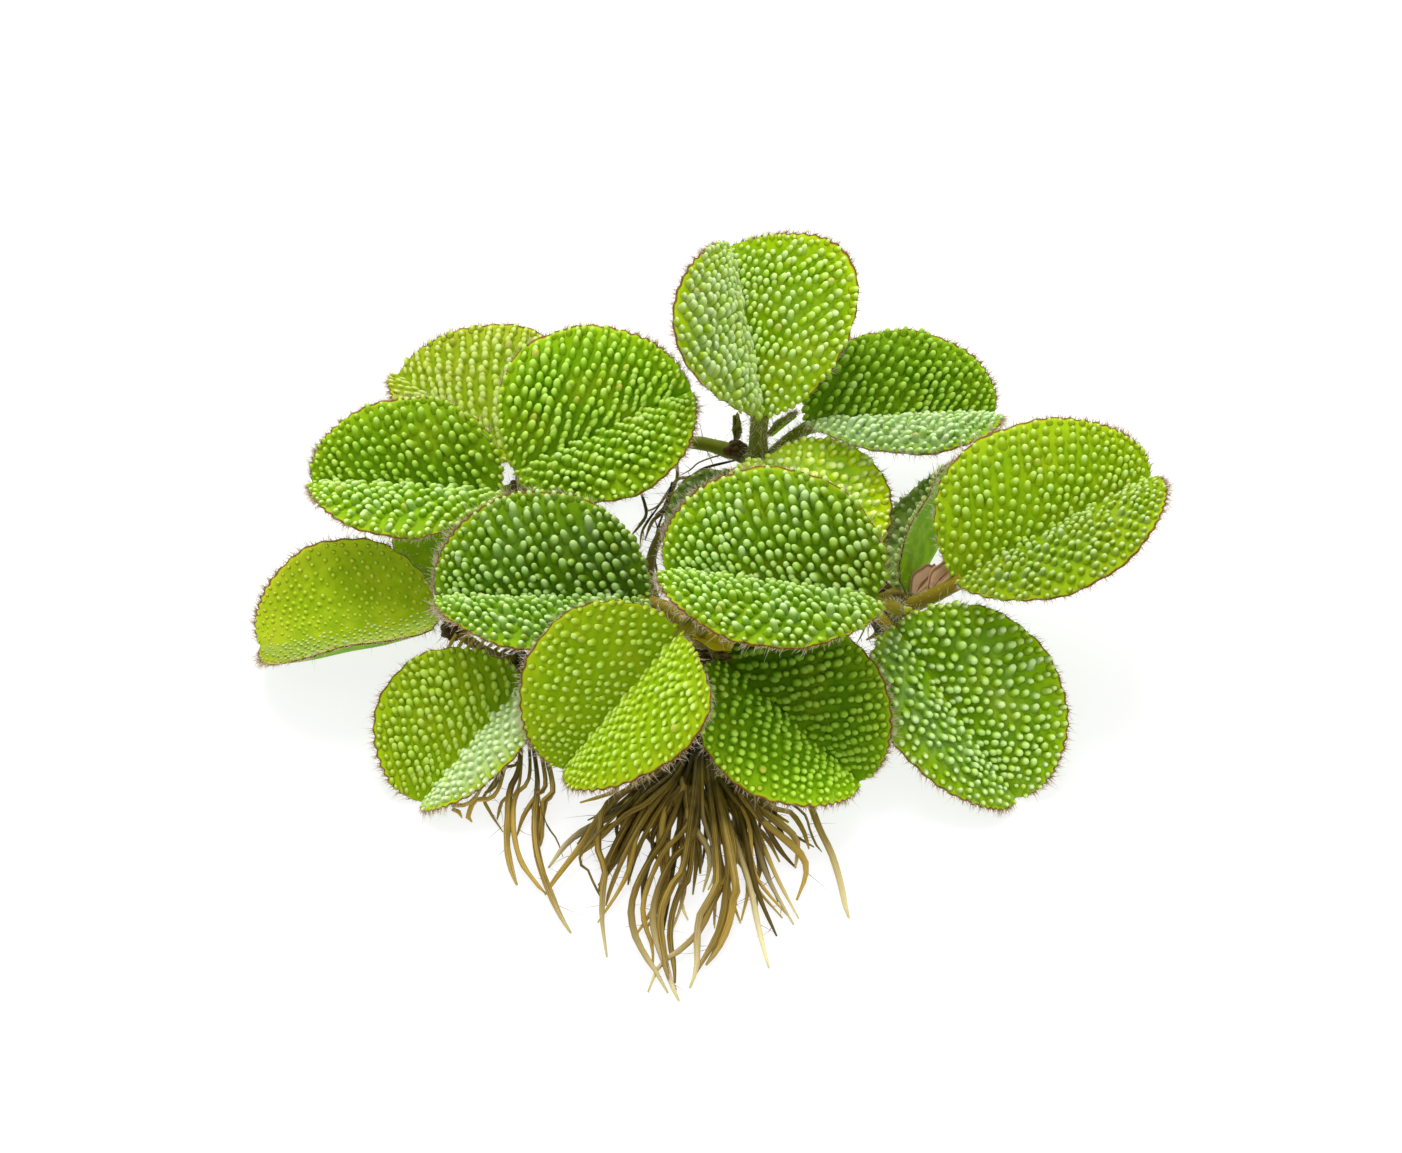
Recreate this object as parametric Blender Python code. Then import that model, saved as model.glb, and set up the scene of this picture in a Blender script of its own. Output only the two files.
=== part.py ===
"""A clump of floating fern, picked and laid down: folded leaves on short stalks, runners and trailing roots.

Lengths in the tables are millimetres. +Z is up, the roots trail towards -Y, and the plant rests on z = 0.
"""

import math

import bmesh
import bpy
from mathutils import Vector

MM = 0.001
FOOTPRINT_CENTRE = Vector((0.4, -3.2, 0.0))

# Leaf solids: the upper face stands at the tips of the bumps, so it is thickest away from the margin.
SPOKES = 24
RINGS = (0.45, 0.8, 1.0)
BUMP_RISE = 1.2
MARGIN_RISE = 0.35
UNDER_DEPTH = 0.3
MARGIN_DEPTH = 0.1
NOTCH_SPREAD = 0.25
CREASE_ROOM = 0.3
PROBE = 0.05

# Tube solids: stalks, runners and root strands. A stalk stops short of its hub and its blade by the two gaps.
# A tube whose direction rises by more than STEEP is framed from the way back, not from straight up.
STALK_SIDES = 6
RUNNER_SIDES = 8
ROOT_SIDES = 8
STALK_STEPS = 5
PATH_STEPS = 3
HUB_GAP = 0.35
BLADE_GAP = 0.56
STEEP = 0.7

COLOURS = {
    "leaf_deep": (0.09, 0.25, 0.02),
    "leaf_fresh": (0.20, 0.38, 0.03),
    "leaf_yellow": (0.28, 0.42, 0.02),
    "stalk_olive": (0.20, 0.19, 0.03),
    "runner_brown": (0.13, 0.10, 0.03),
    "root_straw": (0.22, 0.15, 0.04),
    "root_dark": (0.06, 0.05, 0.02),
    "husk_tan": (0.40, 0.24, 0.13),
}
ROUGHNESS = {"leaf": 0.38, "stalk": 0.5, "runner": 0.6, "root": 0.55, "husk": 0.7}


class Leaf:
    """One folded blade: a valley along the midrib from base to tip, and a lobe rising on each side."""

    def __init__(self, name, colour, base, tip, halves, fold, lean=0, notch=1.2, ear=0.4,
                 bulge=18, shift=(0, 0), rise=BUMP_RISE):
        self.name = name
        self.colour = colour
        self.base = Vector(base)
        self.tip = Vector(tip)
        self.length = (self.tip - self.base).length
        self.along = (self.tip - self.base) / self.length
        upright = (Vector((0, 0, 1)) - self.along.z * self.along).normalized()
        across = upright.cross(self.along)
        turn = math.radians(lean)
        self.across = math.cos(turn) * across + math.sin(turn) * upright
        self.upright = math.cos(turn) * upright - math.sin(turn) * across
        self.halves = halves
        self.fold = fold
        self.notch = notch
        self.ear = ear
        self.bulge = bulge
        self.shift = shift
        self.rise = rise

    def margin(self, angle):
        """Flat place of the margin, (along, across), at an angle about the blade's middle: 0 is the tip."""
        side = 0 if math.sin(angle) >= 0 else 1
        away = abs(math.sin(angle))
        beyond = self.notch if math.cos(angle) > 0 else self.ear
        reach = self.length / 2 + beyond * math.tanh(away / NOTCH_SPREAD)
        along = self.length / 2 + reach * math.cos(angle) + self.shift[side] * away * away
        return along, self.halves[side] * math.sin(angle)

    def bent(self, along, across):
        """Place of a flat point once its lobe has risen; the slope changes evenly from midrib to margin."""
        side = 0 if across >= 0 else 1
        start = math.radians(self.fold[side] + self.bulge)
        change = -2 * math.radians(self.bulge) / self.halves[side]
        end = start + change * abs(across)
        out = (math.sin(end) - math.sin(start)) / change
        up = (math.cos(start) - math.cos(end)) / change
        return self.base + along * self.along + math.copysign(out, across) * self.across + up * self.upright

    def point(self, along, across, lift):
        """A point moved off the blade by lift, square to it. It stays on its own lobe's side of the crease."""
        lengthwise = self.bent(along + PROBE, across) - self.bent(along - PROBE, across)
        sideways = self.bent(along, across + PROBE) - self.bent(along, across - PROBE)
        place = self.bent(along, across) + lift * lengthwise.cross(sideways).normalized()
        least = CREASE_ROOM * abs(across)
        out = math.copysign(1, across) * (place - self.base).dot(self.across)
        return place + math.copysign(max(least - out, 0), across) * self.across

    def ring(self, share, lift):
        """Points round the blade at a share of the way from its middle to its margin."""
        middle = self.length / 2
        points = []
        for k in range(SPOKES):
            along, across = self.margin(2 * math.pi * k / SPOKES)
            points.append(self.point(middle + share * (along - middle), share * across, lift))
        return points


# Leaf positions as (x, y, z) of the base and the tip; halves and fold are for the left and the right lobe.
LEAVES = (
    Leaf("leaf_rear_left", "leaf_yellow", (-20, 21.6, 3), (-32.6, 32.2, 4), (6, 13.6), (12, 12),
         notch=0.2, shift=(-2.6, -2)),
    Leaf("leaf_left_upper", "leaf_fresh", (-20.8, 13, 7.5), (-40, 13.5, 8.5), (10.2, 9.6), (20, 30),
         notch=0.5, shift=(0, -1)),
    Leaf("leaf_left_large", "leaf_deep", (-19, 15.3, 8.3), (-1, 20.3, 15), (11.9, 10.2), (29, 4),
         notch=0.4, ear=0.2, shift=(-1.9, 1.6)),
    Leaf("leaf_centre_left", "leaf_deep", (-5.5, -0.5, 6.5), (-26.5, -1.5, 8.3), (10.5, 11.3), (23, 31),
         notch=0.6),
    Leaf("leaf_far_left", "leaf_yellow", (-27, 0.5, 4), (-44.6, -3, 2.5), (10.3, 9.5), (42, 28),
         notch=0.6, bulge=-25),
    Leaf("leaf_front_left", "leaf_deep", (-17.5, -9.3, 5.3), (-27.5, -20.5, 0.15), (6.9, 10.5), (27, 19),
         shift=(-0.7, 0)),
    Leaf("leaf_front_middle", "leaf_yellow", (-2, -11.8, 16.6), (-13.5, -19.5, 4.4), (11.8, 10.2), (17, 29),
         notch=0.8, ear=0.6, shift=(-4.5, 0)),
    Leaf("leaf_front_right", "leaf_deep", (2, -8.5, 8), (15.5, -20, 3), (10.2, 11), (36, 13)),
    Leaf("leaf_right_low", "leaf_fresh", (19.5, -4.5, 7.5), (31, -20, 0.15), (11, 8.7), (21, 14),
         shift=(0, -1)),
    Leaf("leaf_centre", "leaf_fresh", (17, -6, 14), (-3.5, -3.5, 15.5), (12, 12), (22, 28), ear=1.3),
    Leaf("leaf_rear_tall", "leaf_fresh", (6.3, 19.4, 12), (3, 34, 22), (12.4, 12.5), (45, 10),
         notch=0.4, ear=0.2, shift=(-0.2, 3.4)),
    Leaf("leaf_rear_right", "leaf_deep", (11, 21, 9), (30.8, 24, 7), (9.7, 9.5), (30, 26), notch=0.7),
    Leaf("leaf_far_right", "leaf_yellow", (25.5, -0.5, 10), (45, 8, 16), (11.8, 11.5), (22, 22),
         shift=(-1.5, 0)),
    Leaf("leaf_under_centre", "leaf_fresh", (6.5, 18, 6.5), (14, 4.5, 3), (10, 10), (22, 22)),
    Leaf("leaf_low_middle", "leaf_deep", (5.8, 16.6, 4), (0.5, 7.2, 1.5), (7.2, 7.3), (5, 22)),
    Leaf("leaf_upright", "leaf_deep", (21, 1.5, 5), (28, 14.5, 7.2), (6.5, 8), (45, 45), lean=-55),
    Leaf("leaf_young", "leaf_fresh", (-25.5, 3.5, 3), (-29, 12.5, 3), (4.5, 4.5), (12, 12), rise=0.4),
    Leaf("husk_right", "husk_tan", (23.4, 0.6, 7), (25.6, 2.6, 8.5), (1.7, 1.7), (50, 50),
         notch=0.2, rise=0.2),
)

# The growing points that the runners join, where the stalks and the roots start.
HUBS = {
    "far_left": (-25, -1.5, 3.2),
    "left": (-18, -6, 3.5),
    "middle": (0, -5, 5),
    "right": (19, 0, 4.5),
    "rear": (6, 20.5, 3.2),
    "rear_left": (-19, 16.5, 3.5),
}
HUB_RADIUS = 1.0

# Leaf, hub, how far to the right of the hub the stalk starts, how far back along the midrib and down it
# bends, and its radius.
STALKS = (
    ("leaf_rear_left", "rear_left", 0, 2, 0, 0.65),
    ("leaf_left_upper", "rear_left", -1.2, 0, 2.5, 0.65),
    ("leaf_left_large", "rear_left", 0.8, 0, 3, 0.65),
    ("leaf_centre_left", "middle", 0, 3, 0, 0.9),
    ("leaf_far_left", "far_left", -0.3, 1.5, 0.5, 0.65),
    ("leaf_front_left", "left", 0, 1.5, 1, 0.65),
    ("leaf_front_middle", "middle", 0, 4, 0, 0.65),
    ("leaf_front_right", "middle", 1.6, 1.5, 1.5, 0.65),
    ("leaf_right_low", "right", -1.8, 1.5, 1.5, 0.65),
    ("leaf_centre", "right", 0, 4, 1, 0.65),
    ("leaf_rear_tall", "rear", 0, -2, 5.5, 0.8),
    ("leaf_rear_right", "rear", 1, 2, 2, 0.65),
    ("leaf_far_right", "right", 0.9, 3, 1, 0.85),
    ("leaf_under_centre", "rear", 0.7, 0.5, 2, 0.6),
    ("leaf_low_middle", "rear", -1, 0.5, 1, 0.6),
    ("leaf_upright", "right", 0.4, 0.5, 0.5, 0.6),
    ("leaf_young", "far_left", 1.5, 1.5, 0, 0.6),
)

# Tubes as waypoints of (x, y, z, half width, half height).
RUNNERS = (
    ("runner_front", "runner_brown", (
        (-25.3, -1.3, 3.2, 0.7, 0.7), (-21.5, -4.5, 3.4, 0.6, 0.6), (-18, -6, 3.5, 0.9, 0.9),
        (-9, -6, 4.2, 0.7, 0.7), (0, -5, 5, 1, 1), (9, -3, 4.8, 0.7, 0.7), (19.2, 0, 4.3, 0.8, 0.8))),
    ("runner_middle", "runner_brown", (
        (-1.2, -3.2, 4.1, 0.6, 0.6), (-4.6, 2, 3, 0.6, 0.6), (-5, 9, 2.6, 0.6, 0.6),
        (-1, 16.5, 2.7, 0.6, 0.6), (4.3, 19.8, 3, 0.6, 0.6))),
    ("runner_rear", "stalk_olive", (
        (6.2, 20.5, 3.2, 0.9, 0.9), (-1, 22.5, 4.2, 0.7, 0.7), (-10, 20.5, 3.8, 0.7, 0.7),
        (-19.2, 16.4, 3.5, 0.9, 0.9))),
)

ROOTS = (
    ("roots_front_crown", "root_dark", (
        (0, -6.5, 3.4, 1.2, 1), (0.6, -13, 3.2, 2.2, 1.4), (0.8, -19, 2.6, 3.8, 1.6),
        (0.5, -24, 1.8, 5.9, 1.5))),
    ("root_front_1", "root_straw", (
        (-5.2, -24.7, 1.6, 1.2, 1.4), (-8.2, -31, 1.1, 1.3, 1.2), (-8.9, -38.8, 0.4, 0.35, 0.4))),
    ("root_front_2", "root_straw", (
        (-2.4, -24.7, 1.6, 1.1, 1.5), (-4.4, -33, 1.2, 1.6, 1.3), (-4.5, -42.7, 0.4, 0.4, 0.4))),
    ("root_front_3", "root_straw", (
        (0.3, -24.7, 1.6, 1.1, 1.5), (-0.9, -33, 1.2, 1.5, 1.3), (-1.8, -43.6, 0.4, 0.4, 0.4))),
    ("root_front_4", "root_straw", (
        (3, -24.7, 1.6, 1.1, 1.4), (3.6, -32, 1.1, 1.5, 1.2), (6.3, -39.7, 0.4, 0.35, 0.4))),
    ("root_front_5", "root_straw", (
        (6, -24.9, 1.4, 0.9, 1.1), (9.2, -28.9, 0.4, 0.35, 0.4))),
    ("root_front_right", "root_straw", (
        (8.5, -21, 1.2, 0.6, 0.8), (11.5, -27, 0.8, 0.6, 0.7), (14.2, -34.3, 0.35, 0.3, 0.35))),
    ("root_front_crossing", "root_straw", (
        (-6.9, -22.4, 1.5, 0.6, 0.7), (-10.8, -27.5, 1.8, 0.5, 0.5), (-15, -32, 2, 0.3, 0.3))),
    ("roots_left_crown", "root_dark", (
        (-17.6, -7.5, 2.3, 0.9, 0.9), (-16.8, -14, 2.1, 1.5, 1.2), (-16.8, -19.5, 1.5, 2.8, 1.3))),
    ("root_left_1", "root_straw", (
        (-18.1, -20.3, 1.3, 1.2, 1.1), (-19, -25, 1, 0.9, 0.9), (-17.7, -30.7, 0.4, 0.35, 0.4))),
    ("root_left_2", "root_straw", (
        (-15.3, -20.3, 1.3, 1.2, 1.1), (-15.6, -28, 0.7, 0.7, 0.7), (-12.2, -36.4, 0.35, 0.3, 0.35))),
    ("root_left_3", "root_straw", (
        (-20.4, -18.6, 1.2, 0.5, 0.8), (-22.2, -24, 0.4, 0.35, 0.4))),
    ("root_rear_1", "root_dark", (
        (3.4, 18.2, 1, 0.7, 0.8), (-2, 16.8, 0.7, 0.8, 0.7), (-6.8, 12.6, 0.4, 0.4, 0.4))),
    ("root_rear_2", "root_dark", (
        (3.6, 21.4, 1.1, 0.6, 0.7), (0, 21, 0.8, 0.6, 0.7), (-4.5, 19.5, 0.4, 0.35, 0.4))),
    ("root_right_1", "root_dark", (
        (18.2, -1.2, 2.7, 0.5, 0.5), (17.2, -2.5, 1.4, 0.6, 0.8), (15, -2.2, 0.4, 0.35, 0.4))),
    ("root_right_2", "root_dark", (
        (20.2, -1.2, 2.7, 0.5, 0.5), (21.4, -1.6, 1.4, 0.5, 0.7), (23.5, -0.5, 0.4, 0.35, 0.4))),
)


def clear_scene():
    for obj in list(bpy.data.objects):
        bpy.data.objects.remove(obj)


def material(name):
    made = bpy.data.materials.get(name)
    if made:
        return made
    made = bpy.data.materials.new(name)
    made.use_nodes = True
    shader = made.node_tree.nodes["Principled BSDF"]
    shader.inputs["Base Color"].default_value = (*COLOURS[name], 1)
    shader.inputs["Roughness"].default_value = ROUGHNESS[name.split("_")[0]]
    shader.inputs["Metallic"].default_value = 0
    return made


def new_object(name, colour, build):
    """An object holding what build puts in a bmesh, in millimetres, moved to the footprint's centre."""
    bm = bmesh.new()
    build(bm)
    bmesh.ops.recalc_face_normals(bm, faces=bm.faces)
    for vert in bm.verts:
        vert.co = (vert.co - FOOTPRINT_CENTRE) * MM
    mesh = bpy.data.meshes.new(name)
    bm.to_mesh(mesh)
    bm.free()
    mesh.materials.append(material(colour))
    obj = bpy.data.objects.new(name, mesh)
    bpy.context.scene.collection.objects.link(obj)
    return obj


def loft(bm, loops):
    """Quads between one closed loop of vertices and the next."""
    for near, far in zip(loops, loops[1:]):
        for k in range(len(near)):
            after = (k + 1) % len(near)
            bm.faces.new((near[k], near[after], far[after], far[k]))


def fan(bm, middle, loop):
    for k in range(len(loop)):
        bm.faces.new((middle, loop[k], loop[(k + 1) % len(loop)]))


def leaf_lift(share, middle, edge):
    """Height above the blade at a share of the way to the margin: level, then falling near the margin."""
    return edge + (middle - edge) * (1 - share ** 4)


def add_blade(bm, leaf):
    """The upper and the under face as fans and rings, joined by the rim."""
    sheets = []
    for middle, edge in ((leaf.rise, MARGIN_RISE), (-UNDER_DEPTH, -MARGIN_DEPTH)):
        centre = bm.verts.new(leaf.point(leaf.length / 2, 0, middle))
        loops = []
        for share in RINGS:
            lift = leaf_lift(share, middle, edge)
            loops.append([bm.verts.new(place) for place in leaf.ring(share, lift)])
        fan(bm, centre, loops[0])
        loft(bm, loops)
        sheets.append(loops)
    loft(bm, [sheets[0][-1], sheets[1][-1]])


def smooth_path(waypoints, steps):
    """Waypoints with a Catmull-Rom curve through them, every component alike."""
    ends = [waypoints[0], *waypoints, waypoints[-1]]
    path = []
    for a, b, c, d in zip(ends, ends[1:], ends[2:], ends[3:]):
        for k in range(steps):
            t = k / steps
            row = []
            for p, q, r, s in zip(a, b, c, d):
                row.append(0.5 * (2 * q + (r - p) * t + (2 * p - 5 * q + 4 * r - s) * t ** 2
                                  + (3 * q - p - 3 * r + s) * t ** 3))
            path.append(row)
    path.append(list(waypoints[-1]))
    return path


def add_tube(bm, path, sides):
    """A closed tube along (x, y, z, half width, half height) rows, nowhere below the surface it rests on."""
    places = [Vector(row[:3]) for row in path]
    whole = (places[-1] - places[0]).normalized()
    reference = Vector((0, 0, 1)) if abs(whole.z) < STEEP else Vector((0, 1, 0))
    loops = []
    for k, row in enumerate(path):
        tangent = (places[min(k + 1, len(path) - 1)] - places[max(k - 1, 0)]).normalized()
        side = tangent.cross(reference).normalized()
        over = side.cross(tangent)
        loop = []
        for corner in range(sides):
            angle = 2 * math.pi * (corner + 0.5) / sides
            place = places[k] + row[3] * math.cos(angle) * side + row[4] * math.sin(angle) * over
            place.z = max(place.z, 0)
            loop.append(bm.verts.new(place))
        loops.append(loop)
    loft(bm, loops)
    bm.faces.new(loops[0])
    bm.faces.new(loops[-1])


def stalk_path(leaf, hub, right, back, down, radius):
    """A bend from just outside the hub to just short of the blade."""
    end = leaf.base - BLADE_GAP * leaf.along
    bend = leaf.base - back * leaf.along - Vector((0, 0, down))
    start = Vector(HUBS[hub]) + Vector((right, 0, 0))
    start += (HUB_RADIUS + HUB_GAP) * (bend - start).normalized()
    path = []
    for k in range(STALK_STEPS + 1):
        t = k / STALK_STEPS
        place = (1 - t) ** 2 * start + 2 * t * (1 - t) * bend + t ** 2 * end
        path.append((*place, radius, radius))
    return path


def build():
    clear_scene()
    by_name = {leaf.name: leaf for leaf in LEAVES}
    for leaf in LEAVES:
        new_object(leaf.name, leaf.colour, lambda bm, leaf=leaf: add_blade(bm, leaf))
    for leaf_name, *bend in STALKS:
        path = stalk_path(by_name[leaf_name], *bend)
        name = leaf_name.replace("leaf", "stalk")
        new_object(name, "stalk_olive", lambda bm, path=path: add_tube(bm, path, STALK_SIDES))
    for rows, sides in ((RUNNERS, RUNNER_SIDES), (ROOTS, ROOT_SIDES)):
        for name, colour, waypoints in rows:
            path = smooth_path(waypoints, PATH_STEPS)
            new_object(name, colour, lambda bm, path=path, sides=sides: add_tube(bm, path, sides))


build()
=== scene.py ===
"""The looks of a picked clump of floating fern, laid on a white table.

Folded leaves covered in rows of pale bumps, thin brown hairy margins, hairy stalks and runners, and a tuft of
brown root threads with pale tips. Lengths are millimetres until a mesh is made.
"""

import math

import bmesh
import bpy
import numpy as np
from mathutils import Matrix, Vector, noise as fractal


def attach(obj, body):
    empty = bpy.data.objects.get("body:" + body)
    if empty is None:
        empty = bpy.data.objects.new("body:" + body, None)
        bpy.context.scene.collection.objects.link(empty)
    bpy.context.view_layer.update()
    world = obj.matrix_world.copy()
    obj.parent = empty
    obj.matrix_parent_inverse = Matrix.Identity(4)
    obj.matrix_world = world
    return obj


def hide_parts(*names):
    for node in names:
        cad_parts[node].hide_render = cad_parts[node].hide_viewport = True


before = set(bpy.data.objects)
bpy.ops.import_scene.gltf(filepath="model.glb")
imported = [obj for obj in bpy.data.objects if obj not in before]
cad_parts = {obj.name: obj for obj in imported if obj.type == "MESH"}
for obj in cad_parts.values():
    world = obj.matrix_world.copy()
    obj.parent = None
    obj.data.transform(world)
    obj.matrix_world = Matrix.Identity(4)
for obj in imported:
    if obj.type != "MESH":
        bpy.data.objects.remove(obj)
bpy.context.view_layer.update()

MM = 0.001
FOOTPRINT_CENTRE = np.array((0.4, -3.2, 0.0))
SEED = 11

# The photograph's view: an 85 mm lens on a 36 mm frame, 331 mm away, looking down at 52 degrees.
PHOTO_WIDTH = 1402
PHOTO_HEIGHT = 1153
LENS = 85
FRAME_WIDTH = 36
VIEW_DISTANCE = 331
VIEW_DOWN = math.radians(52)
AIM = np.array((0.0, 0.0, 10.0))
VIEW_ALONG = np.array((0.0, math.cos(VIEW_DOWN), -math.sin(VIEW_DOWN)))
VIEW_UP = np.array((0.0, math.sin(VIEW_DOWN), math.cos(VIEW_DOWN)))
VIEW_RIGHT = np.array((1.0, 0.0, 0.0))
EYE = AIM - VIEW_DISTANCE * VIEW_ALONG
PIXEL = 0.1

# Leaf blades: segments of the mesh, and how thick the blade is in the middle and at the margin.
ROW_STEPS = 132
REACH_STEPS = 20
BLADE_TOP = 0.1
BLADE_UNDER = 0.38
MARGIN_UNDER = 0.12
NOTCH_SPREAD = 0.25
ROW_SWEEP = 0.19
SCALLOP = 0.11
SCALLOP_LENGTH = 0.9
WAVE = 0.16

# Bumps stand in rows that leave the midrib at a slant and curve outwards. The rows close up towards the tip.
BUMP_SIDES = 8
BUMP_PROFILE = ((0, -0.15), (1.5, -0.12), (1.15, 0.06), (0.92, 0.25), (0.8, 0.74), (0.5, 0.94), (0, 1))
BUMP_RADIUS = 0.5
BUMP_HEIGHT = 1.25
BUMP_LEAN = 0.45
ROW_GAP = 1.12
ROW_CURVE = 0.025
ROW_WARP = 0.065
STEP_AT_CREASE = 0.88
STEP_OUTSIDE = 1.36
STEP_AT_TIP = 0.78
CREASE_WIDTH = 3.2
BARE_MARGIN = 0.4
RIM_REACH = 0.955
RIM_STEP = 0.85
RIM_CLEAR = 0.68
RIM_WIDTH = 3.5

# Painted light and shade: the skin is painted darker between the bumps and lighter on their heads, and darker again
# where a leaf lies in shade.
GROUND_LIGHT = 0.95
CAP_LIGHT = 1.12
GROUND_SHADE = 0.6
CAP_SHADE = 0.2

# Hairs for each millimetre of a leaf's length, round its margin and under it.
MARGIN_HAIRS = 40
UNDER_HAIRS = 5

TUBE_SIDES = 12
TUBE_STEPS = 30
ABOVE_TABLE = 0.02


class Leaf:
    """A folded blade. Flat places are (along the midrib, away from it) on side +1, the left, or -1."""

    def __init__(self, name, look, base, tip, halves, fold, lean=0, notch=1.2, ear=0.4, bulge=18,
                 shift=(0, 0), bumps=(1, 1), bloom_and_highlight=(0.2, 0.2), ridged=(0, 0), slant=(0.9, 0.9),
                 bright=(1, 1, 1), spacing=1, dark=(0.2, 0.2)):
        self.name = name
        self.look = look
        self.base = np.array(base, float)
        self.tip = np.array(tip, float)
        self.length = np.linalg.norm(self.tip - self.base)
        self.midrib = (self.tip - self.base) / self.length
        upright = np.array((0, 0, 1)) - self.midrib[2] * self.midrib
        upright /= np.linalg.norm(upright)
        across = np.cross(upright, self.midrib)
        turn = math.radians(lean)
        self.across = math.cos(turn) * across + math.sin(turn) * upright
        self.upright = math.cos(turn) * upright - math.sin(turn) * across
        self.halves = halves
        self.fold = fold
        self.notch = notch
        self.ear = ear
        self.bulge = bulge
        self.shift = shift
        self.bumps = bumps
        self.bloom_and_highlight = bloom_and_highlight
        self.ridged = ridged
        self.slant = slant
        self.bright = bright
        self.spacing = spacing
        self.dark = dark
        self.scallops = round(self.length / SCALLOP_LENGTH)
        self.phase = (self.base[0] * 1.7 + self.base[1]) % (2 * math.pi)

    def by_side(self, pair, side):
        return np.where(np.asarray(side) > 0, pair[0], pair[1])

    def row_shift(self, away, side):
        """How far towards the tip a row of bumps has got at a distance from the midrib, and its slope there."""
        slant = self.by_side(self.slant, side)
        return slant * (away - ROW_CURVE * away ** 2), slant * (1 - 2 * ROW_CURVE * away)

    def row_starts(self, side):
        """Places along the midrib where rows of bumps start, some of them before the base."""
        gap = self.spacing * ROW_GAP * np.hypot(1, 0.7 * self.by_side(self.slant, side))
        gap = gap * (1 + 0.2 * self.by_side(self.ridged, side))
        ahead = float(self.row_shift(self.by_side(self.halves, side), side)[0])
        starts = np.arange(min(0, -ahead), 1.1 * self.length + max(0, -ahead), gap)
        return starts + ROW_WARP * self.length * np.sin(np.pi * np.clip(starts / self.length, 0, 1.1))

    def painted_lobe_light(self, along, away, side):
        """Painted light and shade on the skin: each lobe has its own factor, and so has the tip."""
        left, right, tip = self.bright
        lobe = np.where(side > 0, left, right)
        lobe = (left + right) / 2 + (lobe - (left + right) / 2) * np.clip(away / 1.5, 0, 1)
        return lobe * tip ** np.clip(along / self.length, 0, 1)

    def light(self, along, away, side, height):
        """Painted light and shade at a height on a bump, 0 at its foot and 1 on its head: painted shade at the foot,
        painted light on the head, and more painted shade at the base end and by the crease.
        """
        shade = self.by_side(self.dark, side) * np.clip(1.15 - along / self.length, 0, 1)
        shade = shade * (1 - 0.5 * (away / self.by_side(self.halves, side)) ** 2)
        low = GROUND_LIGHT - GROUND_SHADE * shade
        high = CAP_LIGHT - CAP_SHADE * shade
        return self.painted_lobe_light(along, away, side) * (low + (high - low) * np.clip(height, 0, 1) ** 1.5)

    def flat(self, row, reach, side):
        """Flat place at a share of the way out from a share of the midrib's length to the margin."""
        row = np.asarray(row, float)
        swept = row + ROW_SWEEP * np.abs(np.sin(np.pi * row)) ** 1.5
        angle = np.pi * (1 - swept)
        edge = np.abs(np.sin(angle))
        tooth = SCALLOP * np.sin(2 * np.pi * self.scallops * row)
        beyond = np.where(np.cos(angle) > 0, self.notch, self.ear) + tooth
        spread = self.length / 2 + beyond * np.tanh(edge / NOTCH_SPREAD)
        end = self.length / 2 + spread * np.cos(angle) + self.by_side(self.shift, side) * edge ** 2
        out = self.by_side(self.halves, side) * edge + 0.6 * tooth
        start = row * self.length
        arch = 0.05 * np.sin(np.pi * reach) * out
        return start + (end - start) * reach - arch, np.abs(out) * reach

    def room(self, along, away, side):
        """Distance from flat places to the margin, negative outside it."""
        rows = np.linspace(1, 0, 161)
        edge_along, edge_away = self.flat(rows, np.ones(161), np.full(161, side))
        middle = self.length / 2
        bearing = np.arctan2(away, along - middle)
        limit = np.interp(bearing, np.arctan2(edge_away, edge_along - middle), np.hypot(edge_along - middle, edge_away))
        gap = np.hypot(along[:, None] - edge_along, away[:, None] - edge_away).min(axis=1)
        return np.where(np.hypot(along - middle, away) < limit, gap, -gap)

    def bent(self, along, away, side):
        half = self.by_side(self.halves, side)
        start = np.radians(self.by_side(self.fold, side) + self.bulge)
        change = -2 * math.radians(self.bulge) / half
        end = start + change * away
        out = (np.sin(end) - np.sin(start)) / change
        up = (np.cos(start) - np.cos(end)) / change
        up = up + WAVE * (away / half) ** 2 * np.sin(0.9 * along + self.phase + side)
        return (self.base + along[..., None] * self.midrib + (side * out)[..., None] * self.across
                + up[..., None] * self.upright)

    def lifted(self, along, away, side, lift):
        """Point and outward direction of the upper face at a flat place, moved off the blade by lift."""
        away = np.maximum(away, 0.0)
        step = 0.04
        lengthwise = self.bent(along + step, away, side) - self.bent(along - step, away, side)
        sideways = self.bent(along, away + step, side) - self.bent(along, away - step, side)
        outward = np.cross(lengthwise, sideways * np.asarray(side, float)[..., None])
        outward /= np.linalg.norm(outward, axis=-1, keepdims=True)
        return self.bent(along, away, side) + np.asarray(lift)[..., None] * outward, outward

    def place(self, row, reach, side, lift):
        return self.lifted(*self.flat(row, reach, side), side, lift)
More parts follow.
